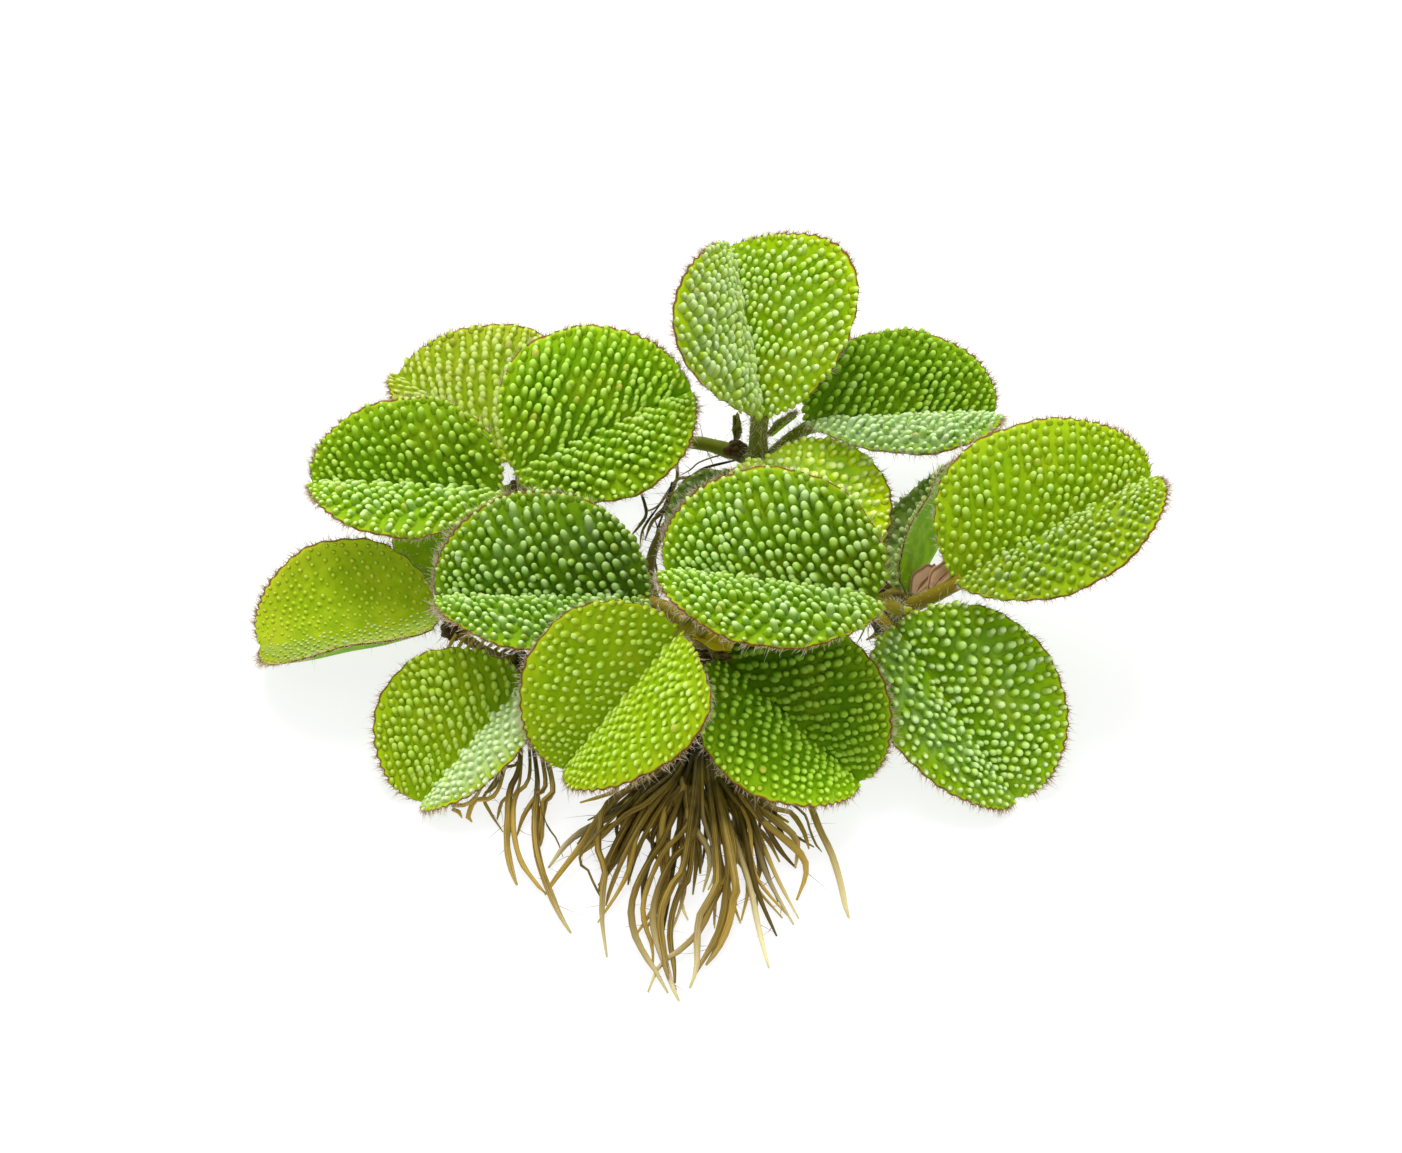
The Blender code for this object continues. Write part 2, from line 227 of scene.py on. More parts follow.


# The same leaves as in CAD. For the left and the right lobe: bloom is how whitish the bumps are, from their pale
# hairs and from a painted highlight (below 0, greener than usual), ridged how far the bumps of a row run together,
# slant how far the rows lean towards the tip and dark how deep the painted shade is between the bumps. bumps is how
# tall and how wide they are, spacing how far apart. bright is the painted light and shade of the left lobe, the right
# lobe and the tip.
LEAVES = (
    Leaf("rear_left", "sallow", (-20, 21.6, 3), (-32.6, 32.2, 4), (6, 13.6), (12, 12), notch=0.2,
         shift=(-2.6, -2), bumps=(0.6, 0.9), bloom_and_highlight=(0.1, 0.1), ridged=(0.9, 0.9), slant=(1.2, 1.2),
         spacing=0.85, dark=(0.1, 0.1)),
    Leaf("left_upper", "fresh", (-20.8, 13, 7.5), (-40, 13.5, 8.5), (10.2, 9.6), (20, 30), notch=0.5,
         shift=(0, -1), bumps=(0.95, 0.85), bloom_and_highlight=(0.35, -0.1), ridged=(1, 0.1), bright=(1.17, 1.13, 1.08),
         spacing=0.92, dark=(0.15, 0.4)),
    Leaf("left_large", "fresh", (-19, 15.3, 8.3), (-1, 20.3, 15), (11.9, 10.2), (29, 4), notch=0.4, ear=0.2,
         shift=(-1.9, 1.6), bumps=(0.95, 0.88), bloom_and_highlight=(-0.1, 0.1), ridged=(0.6, 0.5), slant=(1.4, 1.2),
         bright=(1.35, 1.16, 1.02), spacing=0.86, dark=(0.35, 0.35)),
    Leaf("centre_left", "deep", (-5.5, -0.5, 6.5), (-26.5, -1.5, 8.3), (10.5, 11.3), (23, 31), notch=0.6,
         bumps=(1.1, 0.96), bloom_and_highlight=(0.45, 0.4), bright=(1.08, 1.04, 1.12), spacing=0.94, dark=(0.2, 0.65)),
    Leaf("far_left", "sallow", (-27, 0.5, 4), (-44.6, -3, 2.5), (10.3, 9.5), (42, 28), notch=0.6, bulge=-25,
         bumps=(0.3, 0.45), bloom_and_highlight=(0.5, -0.6), bright=(0.84, 1.15, 1), spacing=0.8, dark=(0, 0)),
    Leaf("front_left", "light", (-17.5, -9.3, 5.3), (-27.5, -20.5, 0.15), (6.9, 10.5), (27, 19),
         shift=(-0.7, 0), bumps=(0.55, 0.8), bloom_and_highlight=(0.9, -0.1), ridged=(0.1, 0.4), slant=(1, -0.9),
         bright=(1.04, 0.88, 1.15), spacing=0.84, dark=(0, 0.15)),
    Leaf("front_middle", "light", (-2, -11.8, 16.6), (-13.5, -19.5, 4.4), (11.8, 10.2), (17, 29), notch=0.8,
         ear=0.6, shift=(-4.5, 0), bumps=(0.5, 0.7), bloom_and_highlight=(0, 0), ridged=(0.5, 0), slant=(1.1, 0.8),
         bright=(1.12, 1.02, 1), spacing=0.86, dark=(0, 0.1)),
    Leaf("front_right", "deep", (2, -8.5, 8), (15.5, -20, 3), (10.2, 11), (36, 13), bumps=(0.6, 0.85),
         bloom_and_highlight=(-0.3, -0.15), ridged=(0.5, 0.2), slant=(1.1, 0.9), bright=(0.8, 1.4, 1.33), spacing=0.86,
         dark=(0.6, 0.7)),
    Leaf("right_low", "fresh", (19.5, -4.5, 7.5), (31, -20, 0.15), (11, 8.7), (21, 14), shift=(0, -1),
         bumps=(0.8, 0.9), bloom_and_highlight=(0.4, 0.5), bright=(1.14, 1.05, 1.1), spacing=0.94, dark=(0.25, 0.25)),
    Leaf("centre", "fresh", (17, -6, 14), (-3.5, -3.5, 15.5), (12, 12), (22, 28), ear=1.3, bumps=(1.1, 0.96),
         bloom_and_highlight=(0.4, 0.35), bright=(1.04, 1.1, 1.16), spacing=0.88, dark=(0.1, 0.6)),
    Leaf("rear_tall", "light", (6.3, 19.4, 12), (3, 34, 22), (12.4, 12.5), (45, 10), notch=0.4, ear=0.2,
         shift=(-0.2, 3.4), bumps=(0.9, 0.85), bloom_and_highlight=(0.6, 0.4), ridged=(0.9, 0.1), slant=(3, 1),
         bright=(1.1, 1.3, 1), spacing=0.84, dark=(0.2, 0.1)),
    Leaf("rear_right", "deep", (11, 21, 9), (30.8, 24, 7), (9.7, 9.5), (30, 26), notch=0.7,
         bumps=(0.9, 0.85), bloom_and_highlight=(-0.1, 0.8), ridged=(0.3, 0), bright=(1.01, 1.02, 1.12), spacing=0.85,
         dark=(0.3, 0)),
    Leaf("far_right", "light", (25.5, -0.5, 10), (45, 8, 16), (11.8, 11.5), (22, 22), shift=(-1.5, 0),
         bumps=(0.78, 0.84), bloom_and_highlight=(0, 0.4), bright=(1.03, 0.87, 1.12), spacing=0.9, dark=(0.1, 0.2)),
    # under_centre lies in the shade of the centre leaf: its bright look and its bright factors paint light onto it.
    Leaf("under_centre", "bright", (6.5, 18, 6.5), (14, 4.5, 3), (10, 10), (22, 22), bumps=(0.85, 0.85),
         bloom_and_highlight=(0.5, 0.5), bright=(1.6, 1.6, 1), spacing=0.85, dark=(0.1, 0.1)),
    Leaf("low_middle", "dull", (5.8, 16.6, 4), (0.5, 7.2, 1.5), (7.2, 7.3), (5, 22), bumps=(0.75, 0.8),
         bloom_and_highlight=(0.5, 0.5), bright=(0.9, 0.88, 1), spacing=0.9, dark=(0.3, 0.3)),
    Leaf("upright", "dull", (21, 1.5, 5), (28, 14.5, 7.2), (6.5, 8), (45, 45), lean=-55, bumps=(0.75, 0.8),
         bloom_and_highlight=(0.3, 0.3)),
    Leaf("young", "bright", (-25.5, 3.5, 3), (-29, 12.5, 3), (4.5, 4.5), (12, 12), bumps=(0.12, 0.35)),
)
SLOTS = {
    "leaf_deep": ("left_large", "centre_left", "front_left", "front_right", "rear_right", "low_middle", "upright"),
    "leaf_yellow": ("rear_left", "far_left", "front_middle", "far_right"),
    "leaf_fresh": ("left_upper", "right_low", "centre", "rear_tall", "under_centre", "young", "curl"),
}

# Growing points, and the stalks from them: how far right of it a stalk starts, how far back along the midrib and
# down it bends, its radius, how golden it is, and its hairs.
HUBS = {
    "far_left": (-25, -1.5, 3.2),
    "left": (-18, -6, 3.5),
    "middle": (0, -5, 5),
    "right": (19, 0, 4.5),
    "rear": (6, 20.5, 3.2),
    "rear_left": (-19, 16.5, 3.5),
}
STALKS = (
    ("rear_left", "rear_left", 0, 2, 0, 0.65, 0.3, 60),
    ("left_upper", "rear_left", -1.2, 0, 2.5, 0.65, 0.3, 80),
    ("left_large", "rear_left", 0.8, 0, 3, 0.65, 0.3, 80),
    ("centre_left", "middle", 0, 3, 0, 0.9, 0.9, 30),
    ("far_left", "far_left", -0.3, 1.5, 0.5, 0.65, 0.7, 80),
    ("front_left", "left", 0, 1.5, 1, 0.65, 0.6, 60),
    ("front_middle", "middle", 0, 4, 0, 0.65, 0.6, 50),
    ("front_right", "middle", 1.6, 1.5, 1.5, 0.65, 0.6, 60),
    ("right_low", "right", -1.8, 1.5, 1.5, 0.65, 0.9, 60),
    ("centre", "right", 0, 4, 1, 0.65, 0.6, 100),
    ("rear_tall", "rear", 0, -2, 5.5, 1.05, 0.2, 320),
    ("rear_right", "rear", 1, 2, 2, 0.8, 0.2, 360),
    ("far_right", "right", 0.9, 3, 1, 0.85, 0.9, 120),
    ("under_centre", "rear", 0.7, 0.5, 2, 0.6, 0.2, 60),
    ("low_middle", "rear", -1, 0.5, 1, 0.6, 0.3, 40),
    ("upright", "right", 0.4, 0.5, 0.5, 0.6, 0.6, 60),
    ("young", "far_left", 1.5, 1.5, 0, 0.6, 0.4, 60),
)
RUNNERS = (
    ("front", "runner_brown", 0.7, (
        (-25.3, -1.3, 3.2, 0.6), (-21.5, -4.5, 3.4, 0.5), (-18, -6, 3.5, 0.8), (-9, -6, 4.2, 0.7),
        (0, -5, 5, 1), (9, -3, 4.8, 0.7), (19.2, 0, 4.3, 0.8))),
    ("middle", "runner_brown", 0.4, (
        (-1.2, -3.2, 4.1, 0.6), (-4.6, 2, 3, 0.6), (-5, 9, 2.6, 0.5), (-1, 16.5, 2.7, 0.5), (5, 20, 3, 0.6))),
    ("rear", "stalk_olive", 0.1, (
        (6.2, 20.5, 3.2, 0.9), (-1, 22.5, 4.2, 0.7), (-10, 20.5, 3.8, 0.7), (-19.2, 16.4, 3.5, 0.9))),
)

# Buds and stubs: where in the photograph, how high, how large each way, and the colour. A dark body paints the shade
# under the right growing point, a yellow one paints a highlight on the right stalk, and the dark bud between the front
# leaves is partly a bud and partly painted shade.
BUDS = (
    ("bud_and_painted_shade_between", (704, 664), 7.5, (1.5, 1.1, 1.2), "dark"),
    ("stub_between", (723, 656), 8.5, (1.1, 0.6, 0.5), "brown"),
    ("bud_front", (723, 771), 5.5, (0.7, 0.6, 0.9), "green"),
    ("bud_rear", (736, 450), 4.0, (1.2, 1.0, 1.0), "dark"),
    ("stub_rear", (737, 428), 5.6, (0.5, 0.5, 2.2), "green"),
    ("bud_right", (893, 601), 6.0, (1.6, 1.1, 1.2), "brown"),
    ("bud_right_left", (878, 591), 5.0, (1.3, 1.0, 1.6), "dark"),
    ("painted_shade_under_right", (888, 622), 3.4, (1.6, 1.2, 1.6), "dark"),
    ("painted_highlight_right", (903, 612), 7.4, (1.3, 0.6, 0.5), "yellow"),
)

# Root threads: width in pixels, how golden and how pale at the tip, then the pixels that the thread passes.
FRONT_THREADS = (
    (7, 0.6, 0.1, ((620, 795), (600, 815), (585, 840), (566, 865), (553, 882), (545, 895))),
    (6, 0.5, 0.0, ((650, 800), (625, 815), (600, 838), (585, 850), (575, 856))),
    (3, 0.2, 0.0, ((584, 850), (588, 870), (598, 892), (602, 900))),
    (7, 0.5, 0.5, ((610, 800), (600, 830), (598, 850), (605, 870), (603, 890), (602, 920), (607, 957))),
    (6, 0.4, 0.1, ((640, 800), (622, 830), (612, 860), (605, 880))),
    (6, 0.5, 0.1, ((650, 810), (632, 840), (620, 865), (610, 890), (606, 905))),
    (6, 0.3, 0.0, ((650, 825), (640, 845), (632, 865), (628, 885))),
    (8, 0.4, 0.5, ((668, 830), (650, 860), (637, 885), (631, 910), (635, 935), (645, 955), (655, 970), (668, 993))),
    (5, 0.9, 0.2, ((672, 800), (650, 820), (630, 838), (620, 855), (618, 866))),
    (6, 0.7, 0.2, ((690, 820), (665, 850), (650, 880), (643, 905), (645, 925), (652, 945), (653, 965))),
    (8, 0.4, 0.6, ((695, 830), (672, 860), (658, 890), (653, 915), (656, 940), (664, 960), (672, 985), (679, 1001))),
    (9, 0.5, 0.3, ((685, 860), (672, 885), (663, 905), (660, 925), (663, 950), (668, 975), (676, 990))),
    (7, 0.3, 0.1, ((690, 870), (680, 890), (672, 915), (670, 940), (674, 965), (675, 983))),
    (6, 1.0, 0.9, ((700, 790), (699, 815), (692, 835), (685, 860), (682, 885), (682, 905), (688, 920))),
    (6, 1.0, 0.9, ((702, 800), (704, 820), (712, 840), (714, 860), (715, 875), (708, 890))),
    (7, 0.5, 0.5, ((735, 850), (725, 880), (712, 905), (700, 930), (680, 950), (660, 965), (648, 992))),
    (8, 0.5, 0.6, ((718, 870), (712, 895), (700, 915), (697, 940), (697, 965), (690, 988))),
    (8, 0.4, 0.3, ((728, 860), (726, 890), (723, 915), (715, 940), (703, 960), (695, 975))),
    (9, 0.7, 0.3, ((735, 880), (733, 900), (728, 925), (718, 948), (706, 965))),
    (7, 0.5, 0.9, ((705, 780), (722, 810), (735, 840), (745, 870), (752, 895), (758, 925), (764, 950), (769, 968))),
    (8, 0.3, 0.1, ((725, 785), (745, 815), (755, 840), (760, 865), (757, 884))),
    (6, 0.1, 0.0, ((750, 800), (765, 825), (780, 850), (796, 868))),
    (5, 0.2, 0.0, ((760, 800), (768, 815), (770, 830))),
    (6, 0.7, 0.1, ((770, 805), (790, 812), (803, 830), (809, 849))),
    (3, 0.3, 0.0, ((800, 810), (808, 825), (815, 843), (822, 852))),
    (8, 0.6, 0.7, ((800, 790), (812, 810), (820, 830), (832, 855), (841, 885), (845, 905), (849, 918))),
)
LEFT_THREADS = (
    (4, 0.5, 0.1, ((500, 775), (484, 795), (490, 812), (503, 832))),
    (8, 0.6, 0.4, ((520, 760), (510, 790), (508, 820), (507, 845), (511, 868), (517, 885))),
    (6, 0.9, 0.2, ((530, 770), (516, 795), (513, 820), (516, 845), (523, 865), (540, 888), (545, 893))),
    (8, 0.5, 0.4, ((536, 765), (537, 790), (535, 820), (536, 845), (541, 868), (549, 890), (560, 915), (571, 933))),
    (8, 0.5, 0.2, ((552, 780), (545, 800), (542, 815), (540, 840), (538, 850))),
    (6, 0.5, 0.1, ((545, 775), (537, 795), (524, 815), (517, 836))),
    (4, 0.6, 0.2, ((520, 780), (503, 800), (499, 812), (497, 820))),
    (6, 0.9, 0.2, ((500, 785), (476, 800), (470, 810), (468, 818), (472, 822))),
    (5, 0.8, 0.1, ((480, 790), (452, 806), (459, 812), (462, 818))),
    (2, 0.1, 0.0, ((540, 800), (545, 820), (550, 830), (557, 840), (563, 857))),
    (4, 0.4, 0.1, ((520, 755), (505, 768), (492, 785), (483, 797))),
)
REAR_THREADS = (
    (4, 0.2, 0, ((745, 458), (728, 462), (705, 468), (690, 477), (678, 479), (668, 492), (658, 506), (645, 512))),
    (4, 0.1, 0, ((672, 430), (676, 450), (677, 465), (677, 478), (672, 492), (666, 505), (655, 515))),
    (4, 0.1, 0, ((638, 478), (641, 492), (645, 505), (646, 515), (640, 525), (630, 537))),
    (3, 0.7, 0, ((668, 505), (664, 512), (659, 525), (655, 540), (650, 556), (652, 575))),
    (2, 0.1, 0, ((740, 455), (722, 455), (700, 462), (690, 470), (679, 476))),
    (1, 0.3, 0, ((700, 425), (705, 445), (712, 462), (718, 475))),
    (1, 0.3, 0, ((688, 432), (698, 445), (712, 452), (730, 460))),
    (5, 0.3, 0, ((672, 482), (668, 498), (662, 512), (652, 522), (645, 540))),
    (3, 0.4, 0, ((660, 505), (650, 518), (642, 532), (640, 548))),
    (3, 0.5, 0, ((655, 520), (660, 540), (655, 560), (660, 585), (655, 600))),
)
RIGHT_THREADS = (
    (6, 0.3, 0, ((888, 606), (882, 622), (876, 634), (866, 640))),
    (5, 0.2, 0, ((890, 608), (894, 625), (900, 638), (905, 650))),
    (7, 0.9, 0, ((903, 608), (907, 618), (910, 630), (907, 645))),
    (2, 0.1, 0, ((880, 610), (868, 622), (862, 634), (856, 645))),
    (1, 0.1, 0, ((882, 600), (872, 618), (868, 634), (872, 646))),
)


def linear(colour):
    """An sRGB hex colour as linear RGBA."""
    channels = [int(colour[k:k + 2], 16) / 255 for k in (1, 3, 5)]
    bright = [c / 12.92 if c <= 0.04045 else ((c + 0.055) / 1.055) ** 2.4 for c in channels]
    return (*bright, 1)


def unit(vectors):
    return vectors / np.linalg.norm(vectors, axis=-1, keepdims=True)


def in_row(points):
    """Millimetres in the tables' coordinates as metres in the row frame."""
    return (np.asarray(points) - FOOTPRINT_CENTRE) * MM


def on_level(pixel, height):
    """The point at a height that the camera sees at a pixel of the photograph."""
    focal = PHOTO_WIDTH * LENS / FRAME_WIDTH
    ray = (VIEW_ALONG + VIEW_RIGHT * (pixel[0] - PHOTO_WIDTH / 2) / focal
           - VIEW_UP * (pixel[1] - PHOTO_HEIGHT / 2) / focal)
    return EYE + (height - EYE[2]) / ray[2] * ray


# Mesh shapes

def shape_of(bm):
    """The vertices and the faces of a finished bmesh, which is then freed."""
    bm.verts.index_update()
    points = np.array([vert.co for vert in bm.verts])
    faces = [tuple(vert.index for vert in face.verts) for face in bm.faces]
    bm.free()
    return points, faces


def straight_tube(sides, steps):
    """A closed tube of radius 1 from z = 0 to z = 1, with steps rings of faces."""
    bm = bmesh.new()
    bmesh.ops.create_cone(bm, cap_ends=True, segments=sides, radius1=1, radius2=1, depth=1,
                          matrix=Matrix.Translation((0, 0, 0.5)))
    uprights = [edge for edge in bm.edges if abs(edge.verts[0].co.z - edge.verts[1].co.z) > 0.5]
    bmesh.ops.subdivide_edges(bm, edges=uprights, cuts=steps - 1, use_grid_fill=True)
    return shape_of(bm)


def bump_shape():
    """A blunt peg, 1 high and about 1 in radius, turned round its axis. Its flared foot is below z = 0."""
    bm = bmesh.new()
    corners = [bm.verts.new((radius, 0, height)) for radius, height in BUMP_PROFILE]
    edges = [bm.edges.new(pair) for pair in zip(corners, corners[1:])]
    bmesh.ops.spin(bm, geom=corners + edges, axis=(0, 0, 1), cent=(0, 0, 0), steps=BUMP_SIDES,
                   angle=2 * math.pi, use_merge=True)
    bmesh.ops.remove_doubles(bm, verts=bm.verts, dist=1e-4)
    bmesh.ops.recalc_face_normals(bm, faces=bm.faces)
    return shape_of(bm)


def plate_shape():
    """A flat plate from -1 to 1 each way with its upper face at z = 0 and its lower face at z = -1."""
    bm = bmesh.new()
    bmesh.ops.create_grid(bm, x_segments=ROW_STEPS, y_segments=2 * REACH_STEPS, size=1)
    lower = bmesh.ops.extrude_face_region(bm, geom=bm.faces[:], use_keep_orig=True)["geom"]
    bmesh.ops.translate(bm, vec=(0, 0, -1), verts=[item for item in lower if isinstance(item, bmesh.types.BMVert)])
    bmesh.ops.recalc_face_normals(bm, faces=bm.faces)
    return shape_of(bm)


def ball_shape():
    bm = bmesh.new()
    bmesh.ops.create_icosphere(bm, subdivisions=4, radius=1)
    return shape_of(bm)


BUMP = bump_shape()
PLATE = plate_shape()
BALL = ball_shape()
TUBE = straight_tube(TUBE_SIDES, TUBE_STEPS)
HAIR = straight_tube(3, 3)


def joined(name, shape, copies, values):
    """One mesh object from many placed copies of a shape. copies is (copy, vertex, xyz); values go to attributes."""
    count, corners = copies.shape[:2]
    faces = shape[1]
    sizes = np.array([len(face) for face in faces])
    loops = np.concatenate([np.array(face) for face in faces])
    offsets = np.arange(count)[:, None] * corners
    mesh = bpy.data.meshes.new(name)
    mesh.vertices.add(count * corners)
    mesh.vertices.foreach_set("co", in_row(copies).astype(np.float32).ravel())
    mesh.loops.add(count * len(loops))
    mesh.loops.foreach_set("vertex_index", (loops[None] + offsets).astype(np.int32).ravel())
    mesh.polygons.add(count * len(sizes))
    starts = np.concatenate([[0], np.cumsum(np.tile(sizes, count))[:-1]])
    mesh.polygons.foreach_set("loop_start", starts.astype(np.int32))
    for key, value in values.items():
        attribute = mesh.attributes.new(key, "FLOAT", "POINT")
        spread = np.broadcast_to(value, (count, corners)).astype(np.float32)
        attribute.data.foreach_set("value", spread.ravel())
    mesh.update(calc_edges=True)
    mesh.validate()
    mesh.shade_smooth()
    obj = bpy.data.objects.new(name, mesh)
    bpy.context.scene.collection.objects.link(obj)
    return obj


def finish_piece(obj, material, slot, *nodes):
    """The piece wears a material, rides with the plant and stands for its CAD nodes."""
    obj.data.materials.append(material)
    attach(obj, "root")
    if nodes:
        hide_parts(*nodes)


def weld(obj):
    """Closes the poles where a blade's rows meet, and turns its faces outwards."""
    bm = bmesh.new()
    bm.from_mesh(obj.data)
    bmesh.ops.remove_doubles(bm, verts=bm.verts, dist=0.002 * MM)
    bmesh.ops.recalc_face_normals(bm, faces=bm.faces)
    bm.to_mesh(obj.data)
    bm.free()


def side_frames(tangents):
    """Two unit directions square to each tangent."""
    tangents = unit(tangents)
    reference = np.where(np.abs(tangents[..., 2:]) < 0.9, np.array((0, 0, 1.0)), np.array((0, 1.0, 0)))
    over = unit(np.cross(tangents, reference))
    return over, np.cross(over, tangents)


def smooth_path(waypoints, count):
    """A Catmull-Rom curve through the waypoints, cut in even steps."""
    waypoints = np.array(waypoints, float)
    ends = np.vstack([waypoints[0], waypoints, waypoints[-1]])
    fine = []
    for k in range(len(waypoints) - 1):
        a, b, c, d = ends[k:k + 4]
        t = np.linspace(0, 1, 16, endpoint=False)[:, None]
        fine.append(0.5 * (2 * b + (c - a) * t + (2 * a - 5 * b + 4 * c - d) * t ** 2
                           + (3 * b - a - 3 * c + d) * t ** 3))
    fine = np.vstack([*fine, waypoints[-1:]])
    gone = np.concatenate([[0], np.cumsum(np.linalg.norm(np.diff(fine[:, :3], axis=0), axis=1))])
    even = np.linspace(0, gone[-1], count)
    return np.stack([np.interp(even, gone, fine[:, k]) for k in range(fine.shape[1])], axis=1)


def bent_tube(waypoints, lumps=0.0, seed=0):
    """The straight tube bent along rows of (x, y, z, radius). It stays above the table."""
    points = TUBE[0]
    path = smooth_path(waypoints, TUBE_STEPS + 1)
    ring = np.rint(points[:, 2] * TUBE_STEPS).astype(int)
    over, up = side_frames(np.gradient(path[:, :3], axis=0))
    dice = np.random.default_rng(seed)
    radius = path[ring, 3:4] * (1 + lumps * dice.normal(0, 1, TUBE_STEPS + 1)[ring, None])
    placed = path[ring, :3] + radius * (points[:, :1] * over[ring] + points[:, 1:2] * up[ring])
    placed[:, 2] = np.maximum(placed[:, 2], ABOVE_TABLE)
    return placed


def strands(roots, directions, bends, lengths, radii):
    """Copies of the hair, each from its root along a direction, curving with its bend and thinning to a point."""
    points = HAIR[0]
    height = points[None, :, 2:3]
    over, up = side_frames(directions)
    thin = radii[:, None, None] * (1 - 0.85 * height)
    ring = points[None, :, :1] * over[:, None] + points[None, :, 1:2] * up[:, None]
    run = lengths[:, None, None] * (height * directions[:, None] + height ** 2 * bends[:, None])
    placed = roots[:, None] + run + thin * ring
    placed[..., 2] = np.maximum(placed[..., 2], ABOVE_TABLE)
    return placed


# Materials

def add_node(tree, kind, settings=None, **inputs):
    """A shader node with its settings. Each input is a value or another node's output; i0 is input number 0."""
    node = tree.nodes.new(kind)
    for key, value in (settings or {}).items():
        setattr(node, key, value)
    for key, value in inputs.items():
        numbered = key[0] == "i" and key[1:].isdigit()
        socket = node.inputs[int(key[1:]) if numbered else key.replace("_", " ")]
        if isinstance(value, bpy.types.NodeSocket):
            tree.links.new(value, socket)
        else:
            socket.default_value = value
    return node


def new_material(name):
    made = bpy.data.materials.new(name)
    made.use_nodes = True
    return made, made.node_tree, made.node_tree.nodes["Principled BSDF"]


def math_node(tree, operation, first, second=0.0):
    return add_node(tree, "ShaderNodeMath", {"operation": operation}, i0=first, i1=second).outputs[0]


def blend_colours(tree, share, first, second):
    """Mixes two colours, each a hex colour or a socket, by a share between 0 and 1."""
    mix = add_node(tree, "ShaderNodeMix", {"data_type": "RGBA"}, i0=share)
    for place, colour in ((6, first), (7, second)):
        if isinstance(colour, str):
            mix.inputs[place].default_value = linear(colour)
        else:
            tree.links.new(colour, mix.inputs[place])
    return mix.outputs[2]


def ramp(tree, value, low, high):
    """0 below low and 1 above high, smooth between."""
    node = add_node(tree, "ShaderNodeMapRange", {"interpolation_type": "SMOOTHSTEP"}, Value=value)
    node.inputs["From Min"].default_value = low
    node.inputs["From Max"].default_value = high
    return node.outputs[0]


def attribute(tree, name):
    return add_node(tree, "ShaderNodeAttribute", {"attribute_name": name}).outputs["Fac"]


def noise(tree, size_mm, detail=2.0):
    """Soft random values whose blotches are about size_mm across."""
    place = add_node(tree, "ShaderNodeTexCoord").outputs["Object"]
    return add_node(tree, "ShaderNodeTexNoise", Vector=place, Scale=1 / (size_mm * MM), Detail=detail).outputs["Fac"]


def set_relief(tree, shader, height, depth_mm, strength=0.5):
    bump = add_node(tree, "ShaderNodeBump", Height=height, Strength=strength, Distance=depth_mm * MM)
    tree.links.new(bump.outputs[0], shader.inputs["Normal"])


# Each look: blade, its darker mottle, which is also painted shade at the foot of each bump, head of a bump, band along
# the margin.
LOOKS = {
    "deep": ("#76A00A", "#5C8804", "#9EBC50", "#8CA812"),
    "fresh": ("#80A80E", "#669206", "#A6C25C", "#98AE14"),
    "light": ("#94B40C", "#80A406", "#AEC862", "#A4B416"),
    "sallow": ("#A0B61A", "#86A20C", "#B8C868", "#AEB028"),
    "dull": ("#7E9846", "#667F34", "#A0B47C", "#8E9640"),
    "bright": ("#AEC20A", "#92B008", "#C4D258", "#B2BA14"),
    "golden": ("#CCB818", "#BCA60E", "#D8CC60", "#C4A81C"),
}
# Whitish colour of the bumps' pale hairs, also used as a painted highlight on the heads and the lobes.
BLOOM_AND_HIGHLIGHT = "#BED0A8"
MARGIN_BROWN = "#6E3E22"
UNDER_GREEN = ("#6E9C0C", "#8CB41C")


def living_tissue(shader, roughness, gloss=0.12):
    """Moist plant tissue: light goes in a little way and comes out greener, and the skin has a soft gloss."""
    shader.inputs["Roughness"].default_value = roughness
    shader.inputs["IOR"].default_value = 1.4
    shader.inputs["Specular IOR Level"].default_value = gloss
    shader.inputs["Subsurface Weight"].default_value = 0.35
    shader.inputs["Subsurface Radius"].default_value = (0.7, 1.0, 0.1)
    shader.inputs["Subsurface Scale"].default_value = 0.8 * MM


def colour_skin(tree, shader, colour):
    """The skin's colour, made brighter or darker by each point's painted light and shade."""
    scaled = add_node(tree, "ShaderNodeVectorMath", {"operation": "SCALE"}, i0=colour,
                      Scale=attribute(tree, "bright"))
    tree.links.new(scaled.outputs[0], shader.inputs["Base Color"])


def yellowed(tree, skin, band):
    """Leaf skin turns yellower in wide soft blotches and towards the margin."""
    blotches = math_node(tree, "MULTIPLY", ramp(tree, noise(tree, 6), 0.45, 0.75), 0.5)
    rim = math_node(tree, "MULTIPLY", attribute(tree, "rim"), 0.55)
    return blend_colours(tree, math_node(tree, "MAXIMUM", blotches, rim), skin, band)


